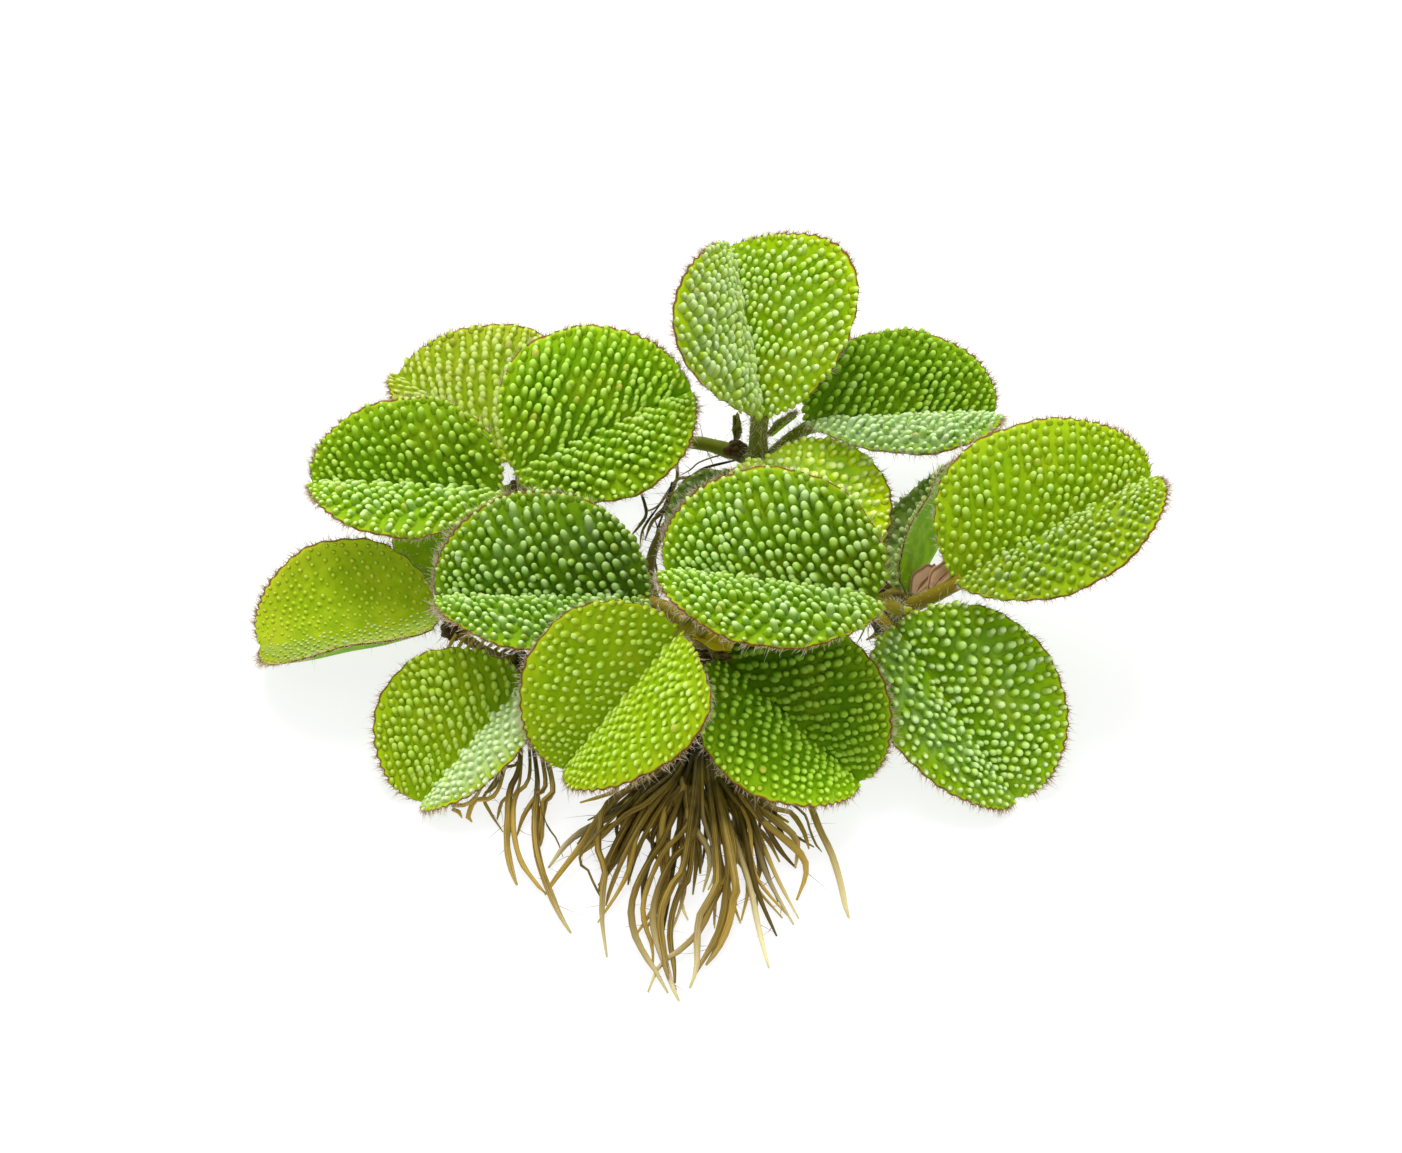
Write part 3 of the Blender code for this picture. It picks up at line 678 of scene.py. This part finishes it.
def blade_skin(look):
    """Leaf skin between the bumps: mottled, whitened towards the middle of a lobe by bloom and painted highlight, with
    a paler band and a thin dry brown edge at the margin.
    """
    colour, mottle_and_shade, _, band = LOOKS[look]
    made, tree, shader = new_material("blade_skin_" + look)
    living_tissue(shader, 0.5, 0.05)
    reach = math_node(tree, "ABSOLUTE", attribute(tree, "reach"))
    skin = blend_colours(tree, ramp(tree, noise(tree, 1.6), 0.35, 0.8), mottle_and_shade, colour)
    skin = yellowed(tree, skin, band)
    # Whitish bloom and painted highlight towards the middle of each lobe.
    bloom_and_highlight_share = math_node(tree, "MULTIPLY", ramp(tree, attribute(tree, "bloom_and_highlight"), 0.3, 1.1), 0.75)
    skin = blend_colours(tree, bloom_and_highlight_share, skin, BLOOM_AND_HIGHLIGHT)
    skin = blend_colours(tree, ramp(tree, reach, 0.95, 0.99), skin, band)
    under = blend_colours(tree, ramp(tree, noise(tree, 1.2), 0.3, 0.7), *UNDER_GREEN)
    skin = blend_colours(tree, attribute(tree, "under"), skin, under)
    ragged = math_node(tree, "ADD", reach, math_node(tree, "MULTIPLY", noise(tree, 0.7), 0.03))
    skin = blend_colours(tree, ramp(tree, ragged, 0.99, 1.01), skin, MARGIN_BROWN)
    colour_skin(tree, shader, skin)
    set_relief(tree, shader, noise(tree, 0.35), 0.06)
    return made


def bump_skin(look):
    """Waxy bumps: as green as the blade, painted darker at the foot as shade, with a pale cap on the blunt head that is
    partly pale hairs and partly a painted highlight, a few of them browned.
    """
    colour, mottle_and_shade, head, band = LOOKS[look]
    made, tree, shader = new_material("bump_skin_" + look)
    living_tissue(shader, 0.5, 0.2)
    height = attribute(tree, "height")
    tone = attribute(tree, "tone")
    bloom_and_highlight = attribute(tree, "bloom_and_highlight")
    # Painted shade at the foot of each bump.
    body = blend_colours(tree, ramp(tree, height, -0.1, 0.35), mottle_and_shade, colour)
    body = yellowed(tree, body, band)
    body = blend_colours(tree, math_node(tree, "MULTIPLY", ramp(tree, bloom_and_highlight, 0.3, 1.1), 0.6), body, BLOOM_AND_HIGHLIGHT)
    # The pale cap: pale hairs and a painted highlight, whiter where the bloom and highlight value is high.
    cap = blend_colours(tree, bloom_and_highlight, head, BLOOM_AND_HIGHLIGHT)
    most = math_node(tree, "ADD", math_node(tree, "MULTIPLY", tone, 0.4), 0.6)
    most = math_node(tree, "ADD", most, math_node(tree, "MINIMUM", bloom_and_highlight, 0.0))
    paleness = math_node(tree, "MULTIPLY", ramp(tree, height, 0.5, 1.0), most)
    skin = blend_colours(tree, paleness, body, cap)
    browned = math_node(tree, "MULTIPLY", ramp(tree, tone, 0.985, 0.995), ramp(tree, height, 0.5, 0.95))
    skin = blend_colours(tree, math_node(tree, "MULTIPLY", browned, 0.7), skin, "#9A8A34")
    colour_skin(tree, shader, skin)
    set_relief(tree, shader, noise(tree, 0.25), 0.08, 0.25)
    return made


def hair_skin(name, root, tip):
    """Fine dry hairs, one colour at the root and another at the tip."""
    made, tree, shader = new_material(name)
    shader.inputs["Roughness"].default_value = 0.5
    tree.links.new(blend_colours(tree, attribute(tree, "height"), root, tip), shader.inputs["Base Color"])
    return made


def stem_skin(name, green, golden, tip, dark, roughness=0.42, gloss=0.12, clear=(0.3, 0.8)):
    """Stalk, runner or root skin: streaks along its length, dark at the crown end, paler towards the tip. On the roots
    the dark crown end is painted shade where the threads crowd.
    """
    made, tree, shader = new_material(name)
    living_tissue(shader, roughness, gloss)
    along = attribute(tree, "along")
    around = math_node(tree, "MULTIPLY", attribute(tree, "turn"), 9.0)
    place = add_node(tree, "ShaderNodeCombineXYZ", X=around, Y=math_node(tree, "MULTIPLY", along, 4.0),
                     Z=math_node(tree, "MULTIPLY", attribute(tree, "tone"), 40.0))
    streaks = add_node(tree, "ShaderNodeTexNoise", Vector=place.outputs[0], Scale=1.0, Detail=3.0).outputs["Fac"]
    uneven = math_node(tree, "MULTIPLY", math_node(tree, "SUBTRACT", streaks, 0.5), 2.0)
    warmth = math_node(tree, "ADD", attribute(tree, "tone"), uneven)
    skin = blend_colours(tree, ramp(tree, warmth, 0.0, 1.0), green, golden)
    # Dark at the crown end with a ragged edge; on the roots this is painted shade among the crowded threads.
    blotches = math_node(tree, "ADD", along, math_node(tree, "MULTIPLY", noise(tree, 2.5), 0.5))
    skin = blend_colours(tree, ramp(tree, blotches, *clear), dark, skin)
    paling = math_node(tree, "ADD", along, math_node(tree, "MULTIPLY", attribute(tree, "pale"), 0.6))
    skin = blend_colours(tree, ramp(tree, paling, 1.0, 1.5), skin, tip)
    tree.links.new(skin, shader.inputs["Base Color"])
    set_relief(tree, shader, streaks, 0.1)
    return made


def husk_skin():
    """A dry papery sheath, pinkish tan with darker veins along it."""
    made, tree, shader = new_material("husk_paper")
    shader.inputs["Roughness"].default_value = 0.6
    veins = ramp(tree, math_node(tree, "SINE", math_node(tree, "MULTIPLY", attribute(tree, "reach"), 9.0)), 0.5, 1.0)
    skin = blend_colours(tree, veins, "#D9B08E", "#9A6848")
    tree.links.new(skin, shader.inputs["Base Color"])
    set_relief(tree, shader, veins, 0.15)
    return made


BLADE_SKINS = {look: blade_skin(look) for look in LOOKS}
BUMP_SKINS = {look: bump_skin(look) for look in sorted({leaf.look for leaf in LEAVES})}
MARGIN_HAIR = hair_skin("margin_hair", "#94683C", "#EADFC8")
PALE_HAIR = hair_skin("pale_hair", "#B8BC84", "#ECEAD2")
BROWN_HAIR = hair_skin("brown_hair", "#46321A", "#8E7444")
STALK_SKIN = stem_skin("stalk_skin", "#646C16", "#86741C", "#8E9634", "#403A10")
RUNNER_SKIN = stem_skin("runner_skin", "#5C5A1C", "#7C6428", "#7C6A2C", "#403414")
# Roots: the near-black crown colour is painted shade where the threads crowd together.
ROOT_SKIN = stem_skin("root_skin", "#5A4810", "#B49644", "#E6D8A8", "#140E02", 0.35, 0.25, (0.4, 1.0))
HUB_SKIN = stem_skin("hub_skin", "#3E3414", "#5A3A1E", "#5A3A1E", "#2E2010")
# A yellow skin that paints a highlight on the right stalk, below its growing point.
YELLOW_HIGHLIGHT_SKIN = stem_skin("yellow_highlight_skin", "#9AA41C", "#B0A426", "#B0A426", "#7C781C")
BUD_SKINS = {"dark": HUB_SKIN, "brown": RUNNER_SKIN, "green": STALK_SKIN, "yellow": YELLOW_HIGHLIGHT_SKIN}


# Leaves

def add_blade(leaf, name, material, slot, node):
    """The plate bent into the leaf: x runs along the midrib, y out to the margin, z through the thickness."""
    points = PLATE[0]
    row = (points[:, 0] + 1) / 2
    reach = np.abs(points[:, 1])
    side = np.where(points[:, 1] >= 0, 1, -1)
    under = points[:, 2] < -0.5
    depth = MARGIN_UNDER + (BLADE_UNDER - MARGIN_UNDER) * (1 - reach ** 3)
    lift = np.where(under, -depth, BLADE_TOP * (1 - reach ** 2))
    placed, _ = leaf.place(row, reach, side, lift)
    midrib = reach < 1e-6
    placed[midrib] = leaf.base + (row * leaf.length)[midrib, None] * leaf.midrib
    placed[midrib] += lift[midrib, None] * leaf.upright
    placed[:, 2] = np.maximum(placed[:, 2], ABOVE_TABLE)
    # Painted light and shade on the blade; the underside is painted as if partway up a bump.
    bright = leaf.light(*leaf.flat(row, reach, side), side, np.where(under, 0.6, 0.0))
    # Whitish bloom and painted highlight, most towards the middle of each lobe.
    bloom_and_highlight = np.maximum(leaf.by_side(leaf.bloom_and_highlight, side), 0) * np.sin(np.pi * reach) ** 0.5
    rim = np.clip(1 - (1 - reach) * np.mean(leaf.halves) / RIM_WIDTH, 0, 1)
    values = {"reach": points[None, :, 1], "under": under[None], "bright": bright[None], "bloom_and_highlight": bloom_and_highlight[None],
              "rim": rim[None]}
    obj = joined(name, PLATE, placed[None], values)
    weld(obj)
    finish_piece(obj, material, slot, *node)


def bump_places(leaf, side, dice):
    """Flat places of the bumps on one lobe: rows from the midrib outwards, then a line just inside the margin."""
    half = leaf.by_side(leaf.halves, side)
    ridged = leaf.by_side(leaf.ridged, side)
    places = []
    for k, start in enumerate(leaf.row_starts(side)):
        out = 0.3 + 0.5 * (k % 2) * STEP_AT_CREASE
        while out < half:
            ahead, slope = leaf.row_shift(out, side)
            places.append((start + ahead + dice.normal(0, 0.1), out + dice.normal(0, 0.08)))
            step = np.interp(out, (0, CREASE_WIDTH), (STEP_AT_CREASE, STEP_OUTSIDE - 0.35 * ridged))
            step *= np.interp(start + ahead, (0, leaf.length), (1, STEP_AT_TIP))
            out += leaf.spacing * step * dice.uniform(0.93, 1.07) / math.hypot(1, slope)
    along, away = np.array(places).T
    along = along + 0.3 * np.sin(0.7 * away + leaf.phase) + 0.2 * np.sin(0.9 * along + 2 * leaf.phase)
    kept = leaf.room(along, away, side) > BARE_MARGIN
    along = along[kept]
    away = np.abs(away[kept])

    rim_along, rim_away = leaf.flat(np.linspace(0.02, 0.98, 400), RIM_REACH, side)
    gone = np.concatenate([[0], np.cumsum(np.hypot(np.diff(rim_along), np.diff(rim_away)))])
    evenly = np.arange(0, gone[-1], RIM_STEP)
    rim_along = np.interp(evenly, gone, rim_along)
    rim_away = np.interp(evenly, gone, rim_away)
    nearest = np.hypot(rim_along[:, None] - along, rim_away[:, None] - away).min(axis=1)
    along = np.concatenate([along, rim_along[nearest > RIM_CLEAR]])
    away = np.concatenate([away, rim_away[nearest > RIM_CLEAR]])
    return along, away, leaf.room(along, away, side)


def add_bumps(leaf, dice):
    copies = []
    tones = []
    bumps_bloom_and_highlight = []
    painted_lights = []
    rims = []
    points = BUMP[0]
    for side in (1, -1):
        along, away, room = bump_places(leaf, side, dice)
        count = len(along)
        sides = np.full(count, side)
        lift = np.full(count, 0.5 * BLADE_TOP)
        foot, outward = leaf.lifted(along, away, sides, lift)
        onward, _ = leaf.lifted(along + 0.1 * leaf.row_shift(away, side)[1], away + 0.1, sides, lift)
        row_way = unit(onward - foot)
        crosswise = np.cross(outward, row_way)
        crease = np.clip(1 - away / CREASE_WIDTH, 0, 1)
        edge = np.clip(room / 2.2, 0, 1)
        size = dice.uniform(0.8, 1.15, count) * np.interp(along, (0, leaf.length), (1.05, 0.85))
        ridged = leaf.ridged[0] if side > 0 else leaf.ridged[1]
        height = BUMP_HEIGHT * leaf.bumps[0] * size * (0.45 + 0.55 * edge) * (1 - 0.35 * crease)
        wide = BUMP_RADIUS * leaf.bumps[1] * size * (0.6 + 0.4 * edge) * (1 - 0.22 * crease)
        deep = wide * (1 + (0.35 + 0.5 * ridged) * crease + 0.3 * ridged) * dice.uniform(0.92, 1.12, count)
        axis = unit(outward + BUMP_LEAN * row_way + 0.16 * dice.normal(0, 1, (count, 3)))
        placed = (foot[:, None] + height[:, None, None] * points[None, :, 2:3] * axis[:, None]
                  + deep[:, None, None] * points[None, :, :1] * row_way[:, None]
                  + wide[:, None, None] * points[None, :, 1:2] * crosswise[:, None])
        copies.append(placed)
        tones.append(dice.uniform(0, 1, count) * (1 - 0.5 * crease))
        # Whitish bloom and painted highlight of each bump.
        bloom_and_highlight = leaf.bloom_and_highlight[0] if side > 0 else leaf.bloom_and_highlight[1]
        bumps_bloom_and_highlight.append(np.clip(bloom_and_highlight + dice.normal(0, 0.12, count), -0.6, 1))
        # Painted light and shade on each bump, from its foot to its head.
        painted_lights.append(leaf.light(along[:, None], away[:, None], sides[:, None], points[None, :, 2]))
        rims.append(np.clip(1 - room / RIM_WIDTH, 0, 1))
    copies = np.concatenate(copies)
    copies[..., 2] = np.maximum(copies[..., 2], ABOVE_TABLE)
    values = {"height": points[None, :, 2], "tone": np.concatenate(tones)[:, None],
              "bloom_and_highlight": np.concatenate(bumps_bloom_and_highlight)[:, None], "bright": np.concatenate(painted_lights),
              "rim": np.concatenate(rims)[:, None]}
    obj = joined("bumps_" + leaf.name, BUMP, copies, values)
    finish_piece(obj, BUMP_SKINS[leaf.look], slot_of(leaf))


def add_hairs(name, material, slot, roots, aims, bend, lengths, radius):
    """Thin hairs from many roots, each aimed and then bent a little at random."""
    fine = strands(roots, unit(aims), bend, lengths, np.full(len(roots), radius))
    finish_piece(joined(name, HAIR, fine, {"height": HAIR[0][None, :, 2]}), material, slot)


def add_leaf_hairs(leaf, dice):
    """A fringe round the margin and sparse hairs on the underside."""
    count = round(MARGIN_HAIRS * leaf.length)
    row = dice.uniform(0.02, 0.99, count)
    side = dice.choice((1, -1), count)
    low = np.full(count, -0.03)
    edge, outward = leaf.place(row, np.full(count, 0.995), side, low)
    inner, _ = leaf.place(row, np.full(count, 0.93), side, low)
    tilt = dice.uniform(-0.8, 0.4, (count, 1))
    aims = unit(edge - inner) + tilt * outward + 0.35 * dice.normal(0, 1, (count, 3))
    bend = 0.35 * dice.normal(0, 1, (count, 3))
    lengths = dice.uniform(0.3, 0.95, count)
    add_hairs("fringe_" + leaf.name, MARGIN_HAIR, slot_of(leaf), edge, aims, bend, lengths, 0.04)

    count = round(UNDER_HAIRS * leaf.length)
    row = dice.uniform(0.05, 0.95, count)
    side = dice.choice((1, -1), count)
    reach = dice.uniform(0.1, 0.98, count)
    foot, outward = leaf.place(row, reach, side, np.full(count, -0.2))
    aims = -outward + 0.5 * dice.normal(0, 1, (count, 3))
    bend = 0.4 * dice.normal(0, 1, (count, 3))
    lengths = dice.uniform(0.5, 1.0, count)
    add_hairs("under_hairs_" + leaf.name, PALE_HAIR, slot_of(leaf), foot, aims, bend, lengths, 0.028)


def slot_of(leaf):
    return next(slot for slot, names in SLOTS.items() if leaf.name in names)


def add_leaves():
    for number, leaf in enumerate(LEAVES):
        dice = np.random.default_rng(SEED + number)
        add_blade(leaf, "blade_" + leaf.name, BLADE_SKINS[leaf.look], slot_of(leaf), ["leaf_" + leaf.name])
        add_bumps(leaf, dice)
        add_leaf_hairs(leaf, dice)
    paper = husk_skin()
    husk = Leaf("husk", "sallow", (23.4, 0.6, 7), (25.6, 2.6, 8.5), (1.7, 1.7), (50, 50), notch=0.2)
    add_blade(husk, "sheath_right", paper, "husk_tan", ["husk_right"])
    inner = Leaf("inner_husk", "sallow", (21.8, 1.2, 5.6), (24, 3.4, 7), (1.6, 1.6), (30, 30), notch=0.2)
    add_blade(inner, "sheath_right_inner", paper, "husk_tan", [])
    curl = Leaf("curl", "dull", (7.2, 20.2, 8.2), (9.8, 22.6, 8.6), (0.8, 0.8), (65, 65), notch=0.1)
    add_blade(curl, "curled_leaf_rear", BLADE_SKINS["dull"], "leaf_fresh", [])
    add_leaf_hairs(curl, np.random.default_rng(SEED + 90))


# Stalks, runners and growing points

def tube_values(tones, pales, first=0.0):
    """Attributes of joined tubes: place along, counted from first to 1, and around each, its tone and paleness."""
    points = TUBE[0]
    turn = np.abs(np.arctan2(points[:, 1], points[:, 0])) / math.pi
    return {"along": first + (1 - first) * points[None, :, 2], "turn": turn[None], "tone": np.array(tones)[:, None],
            "pale": np.array(pales)[:, None]}


def tube_hairs(name, waypoints, count, dice, material, slot, lengths=(0.4, 0.9)):
    """Hairs standing out all round a tube."""
    path = smooth_path(waypoints, 200)
    over, up = side_frames(np.gradient(path[:, :3], axis=0))
    pick = dice.integers(6, 194, count)
    turn = dice.uniform(0, 2 * math.pi, count)[:, None]
    out = np.cos(turn) * over[pick] + np.sin(turn) * up[pick]
    roots = path[pick, :3] + 0.9 * path[pick, 3:4] * out
    aims = out + 0.4 * dice.normal(0, 1, (count, 3))
    bend = 0.3 * dice.normal(0, 1, (count, 3))
    add_hairs(name, material, slot, roots, aims, bend, dice.uniform(*lengths, count), 0.028)


def stalk_path(leaf, hub, right, back, down, radius):
    """A bend from the middle of the growing point to just inside the blade."""
    start = np.array(HUBS[hub]) + np.array((right, 0, 0))
    bend = leaf.base - back * leaf.midrib - np.array((0, 0, down))
    end = leaf.base + 0.7 * leaf.midrib - 0.3 * leaf.upright
    path = []
    for t in np.linspace(0, 1, 7):
        place = (1 - t) ** 2 * start + 2 * t * (1 - t) * bend + t ** 2 * end
        path.append((*place, radius * (1.05 - 0.25 * t + 0.3 * t ** 6)))
    return path


def add_stalks():
    by_name = {leaf.name: leaf for leaf in LEAVES}
    for number, (name, hub, right, back, down, radius, golden, hairs) in enumerate(STALKS):
        path = stalk_path(by_name[name], hub, right, back, down, radius)
        skin = bent_tube(path, 0.04, number)
        obj = joined("stem_" + name, TUBE, skin[None], tube_values([golden], [0.2], 0.35))
        finish_piece(obj, STALK_SKIN, "stalk_olive", "stalk_" + name)
        dice = np.random.default_rng(SEED + 100 + number)
        tube_hairs("stem_hairs_" + name, path, hairs, dice, PALE_HAIR, "stalk_olive")


def add_runners():
    for number, (name, slot, golden, waypoints) in enumerate(RUNNERS):
        material = RUNNER_SKIN if slot == "runner_brown" else STALK_SKIN
        skin = bent_tube(waypoints, 0.05, number)
        obj = joined("stem_runner_" + name, TUBE, skin[None], tube_values([golden], [0.0], 0.6))
        finish_piece(obj, material, slot, "runner_" + name)
        dice = np.random.default_rng(SEED + 200 + number)
        tube_hairs("stem_hairs_runner_" + name, waypoints, 260, dice, BROWN_HAIR, slot)


def add_small_pieces():
    """A smooth yellow bract under the centre leaf, and a comb of thin brown strands on the front runner."""
    # The bract's bright factors paint light onto it.
    bract = Leaf("bract", "golden", (3.0, -8.6, 9.3), (-0.7, -7.2, 9.9), (1.2, 1.4), (25, 25), notch=0.1, ear=0.1,
                 bright=(1.2, 1.2, 1))
    add_blade(bract, "bract_middle", BLADE_SKINS["golden"], "leaf_yellow", [])
    paths = []
    for k in range(8):
        low = on_level((443 + 9.5 * k, 657 - 0.5 * k), 3.0)
        high = on_level((456 + 9.5 * k, 634 + 2 * k), 4.2)
        paths.append([(*low, 0.16), (*(0.5 * (low + high) + (0.1, 0, 0.2)), 0.2), (*high, 0.14)])
    skins = np.stack([bent_tube(path, 0.1, number) for number, path in enumerate(paths)])
    tones = np.linspace(0.9, 0.4, len(paths))
    obj = joined("comb_strands", TUBE, skins, tube_values(tones, np.zeros(len(paths)), 0.5))
    finish_piece(obj, ROOT_SKIN, "root_straw")


def add_knot(name, number, place, sizes, material, hairs):
    """A noisy ball with half axes sizes and brown hairs standing out of it."""
    points = BALL[0]
    knots = np.array([fractal.noise(Vector(point * 2 + number * 7)) for point in points])
    skin = np.array(place) + points * np.array(sizes) * (1 + 0.35 * knots[:, None])
    values = {"along": np.clip(0.5 + knots, 0, 1)[None], "turn": points[None, :, 0], "tone": [[0.4]],
              "pale": [[0.0]]}
    finish_piece(joined("knot_" + name, BALL, skin[None], values), material, "runner_brown")
    dice = np.random.default_rng(SEED + 300 + number)
    out = unit(dice.normal(0, 1, (hairs, 3)))
    roots = np.array(place) + 0.95 * np.array(sizes) * out
    aims = out + 0.4 * dice.normal(0, 1, (hairs, 3))
    bend = 0.4 * dice.normal(0, 1, (hairs, 3))
    lengths = dice.uniform(0.5, 1.4, hairs)
    add_hairs("knot_hairs_" + name, BROWN_HAIR, "runner_brown", roots, aims, bend, lengths, 0.03)


def add_knots():
    """The growing points, where the stalks, runners and roots meet, and the buds and stubs beside them, among them dark
    bodies that paint shade and a yellow one that paints a highlight.
    """
    for number, (name, place) in enumerate(HUBS.items()):
        add_knot(name, number, place, (1.3, 1.15, 1.0), HUB_SKIN, 90)
    for number, (name, pixel, height, sizes, colour) in enumerate(BUDS):
        add_knot(name, 20 + number, on_level(pixel, height), sizes, BUD_SKINS[colour], 25)


# Roots

def thread_path(pixels, width, starts, rise, lay):
    """A root thread from its start points, then along pixels, sinking from rise to rest on the table."""
    radius = 0.9 * width * PIXEL / 2
    shares = np.linspace(0, 1, len(pixels))
    heights = radius + lay * (1 - shares ** 3) + (rise - radius) * (1 - shares) ** 2
    places = [*starts, *(on_level(pixel, height) for pixel, height in zip(pixels, heights))]
    thickness = np.interp(np.linspace(0, 1, len(places)), (0, 0.35, 0.8, 1), (0.45, 1, 0.95, 0.3))
    return [(*place, radius * share) for place, share in zip(places, thickness)]


def add_threads(name, paths, tones, pales, slot, nodes, dice):
    """All the threads of one tuft as one piece, short ones darker, and fine dark rootlets on them."""
    skins = np.stack([bent_tube(path, 0.05, number) for number, path in enumerate(paths)])
    lengths = np.array([np.linalg.norm(np.diff(path, axis=0)[:, :3], axis=1).sum() for path in paths])
    values = tube_values(tones, pales)
    values["along"] = values["along"] * (lengths[:, None] / lengths.max()) ** 0.45
    finish_piece(joined("threads_" + name, TUBE, skins, values), ROOT_SKIN, slot, *nodes)
    roots = []
    aims = []
    for path in paths:
        fine = smooth_path(path, 60)
        for pick in dice.integers(15, 58, 5):
            tangent = fine[pick + 1, :3] - fine[pick - 1, :3]
            sideways = unit(np.cross(tangent, (0, 0, 1))) * dice.choice((1, -1))
            roots.append(fine[pick, :3])
            aims.append(sideways + 0.8 * unit(tangent) + 0.25 * dice.normal(0, 1, 3))
    count = len(roots)
    bend = 0.5 * dice.normal(0, 1, (count, 3)) * np.array((1, 1, 0.3))
    add_hairs("rootlets_" + name, BROWN_HAIR, slot, np.array(roots), np.array(aims), bend,
              dice.uniform(0.6, 2.2, count), 0.04)


def add_front_roots():
    dice = np.random.default_rng(SEED + 400)
    hub = np.array(HUBS["middle"]) + np.array((0, -0.6, -0.8))
    paths = []
    tones = []
    pales = []
    for width, golden, pale, pixels in FRONT_THREADS:
        neck = on_level((700 + 0.3 * (pixels[0][0] - 695), 756), 3.6)
        paths.append(thread_path(pixels, width, [hub, neck], dice.uniform(2, 3.4), dice.uniform(0, 1)))
        tones.append(golden)
        pales.append(pale)
    for turn in np.linspace(-1.0, 0.85, 84):
        turn = turn + dice.normal(0, 0.08)
        neck = on_level((700 + 34 * math.sin(turn) + dice.normal(0, 8), 752), dice.uniform(2.2, 3.6))
        length = dice.uniform(45, 185) * (0.62 + 0.45 * math.cos(turn))
        reach = np.array((0.35, 0.7, 1.0)) * length
        bow = dice.normal(0, 8, 3)
        pixels = [(700 + 46 * math.sin(turn) + 0.85 * r * math.sin(turn) + b, 765 + r * math.cos(turn))
                  for r, b in zip(reach, bow)]
        width = dice.uniform(4.5, 8)
        paths.append(thread_path(pixels, width, [hub, neck], dice.uniform(1, 2.8), dice.uniform(0, 0.8)))
        tones.append(dice.uniform(-0.4, 1.3))
        pales.append(dice.uniform(0, 1) ** 2)
    nodes = ["roots_front_crown", "root_front_right", "root_front_crossing"]
    nodes += [f"root_front_{number}" for number in range(1, 6)]
    add_threads("front", paths, tones, pales, "root_straw", nodes, dice)


def add_plain_roots(name, table, hub, rise, slot, nodes, seed):
    """A tuft whose threads leave their growing point straight for their first pixel; the rear tuft's threads start at
    their first pixel.
    """
    dice = np.random.default_rng(SEED + seed)
    start = np.array(HUBS[hub]) + np.array((0, -0.4, -0.6))
    paths = [thread_path(pixels, width, [start] if start_here else [], dice.uniform(0.8, 1) * rise, dice.uniform(0, 0.6))
             for width, _, _, pixels in table for start_here in [name != "rear"]]
    add_threads(name, paths, [row[1] for row in table], [row[2] for row in table], slot, nodes, dice)


add_leaves()
add_stalks()
add_runners()
add_knots()
add_small_pieces()
add_front_roots()
add_plain_roots("left", LEFT_THREADS, "left", 3.0, "root_straw",
                ["roots_left_crown", "root_left_1", "root_left_2", "root_left_3"], 500)
add_plain_roots("rear", REAR_THREADS, "rear", 1.8, "root_dark", ["root_rear_1", "root_rear_2"], 600)
add_plain_roots("right", RIGHT_THREADS, "right", 3.0, "root_dark", ["root_right_1", "root_right_2"], 700)


# Table, light and camera

def add_floor():
    bm = bmesh.new()
    bmesh.ops.create_grid(bm, x_segments=1, y_segments=1, size=2)
    mesh = bpy.data.meshes.new("floor")
    bm.to_mesh(mesh)
    bm.free()
    floor = bpy.data.objects.new("floor", mesh)
    bpy.context.scene.collection.objects.link(floor)
    made, _, shader = new_material("white_light_table")
    shader.inputs["Base Color"].default_value = linear("#808080")
    shader.inputs["Roughness"].default_value = 0.8
    shader.inputs["Emission Color"].default_value = (1, 1, 1, 1)
    shader.inputs["Emission Strength"].default_value = 0.8
    mesh.materials.append(made)


def add_softbox(name, place, size, watts):
    """A square light at a place in metres, turned towards the plant."""
    light = bpy.data.lights.new(name, "AREA")
    light.size = size
    light.energy = watts
    lamp = bpy.data.objects.new(name, light)
    lamp.location = place
    lamp.rotation_euler = (-Vector(place)).to_track_quat("-Z", "Y").to_euler()
    bpy.context.scene.collection.objects.link(lamp)


def add_camera():
    camera = bpy.data.cameras.new("camera")
    camera.lens = LENS
    camera.sensor_width = FRAME_WIDTH
    eye = bpy.data.objects.new("camera", camera)
    eye.location = in_row(EYE)
    eye.rotation_euler = (math.pi / 2 - VIEW_DOWN, 0, 0)
    bpy.context.scene.collection.objects.link(eye)
    bpy.context.scene.camera = eye


def set_sky(strength):
    world = bpy.data.worlds.new("studio")
    world.use_nodes = True
    background = world.node_tree.nodes["Background"]
    background.inputs["Color"].default_value = (1, 1, 1, 1)
    background.inputs["Strength"].default_value = strength
    bpy.context.scene.world = world


add_floor()
add_softbox("softbox_rear", (-0.05, 0.35, 0.55), 0.35, 3.5)
set_sky(0.9)
add_camera()
bpy.context.scene.view_settings.view_transform = "Standard"
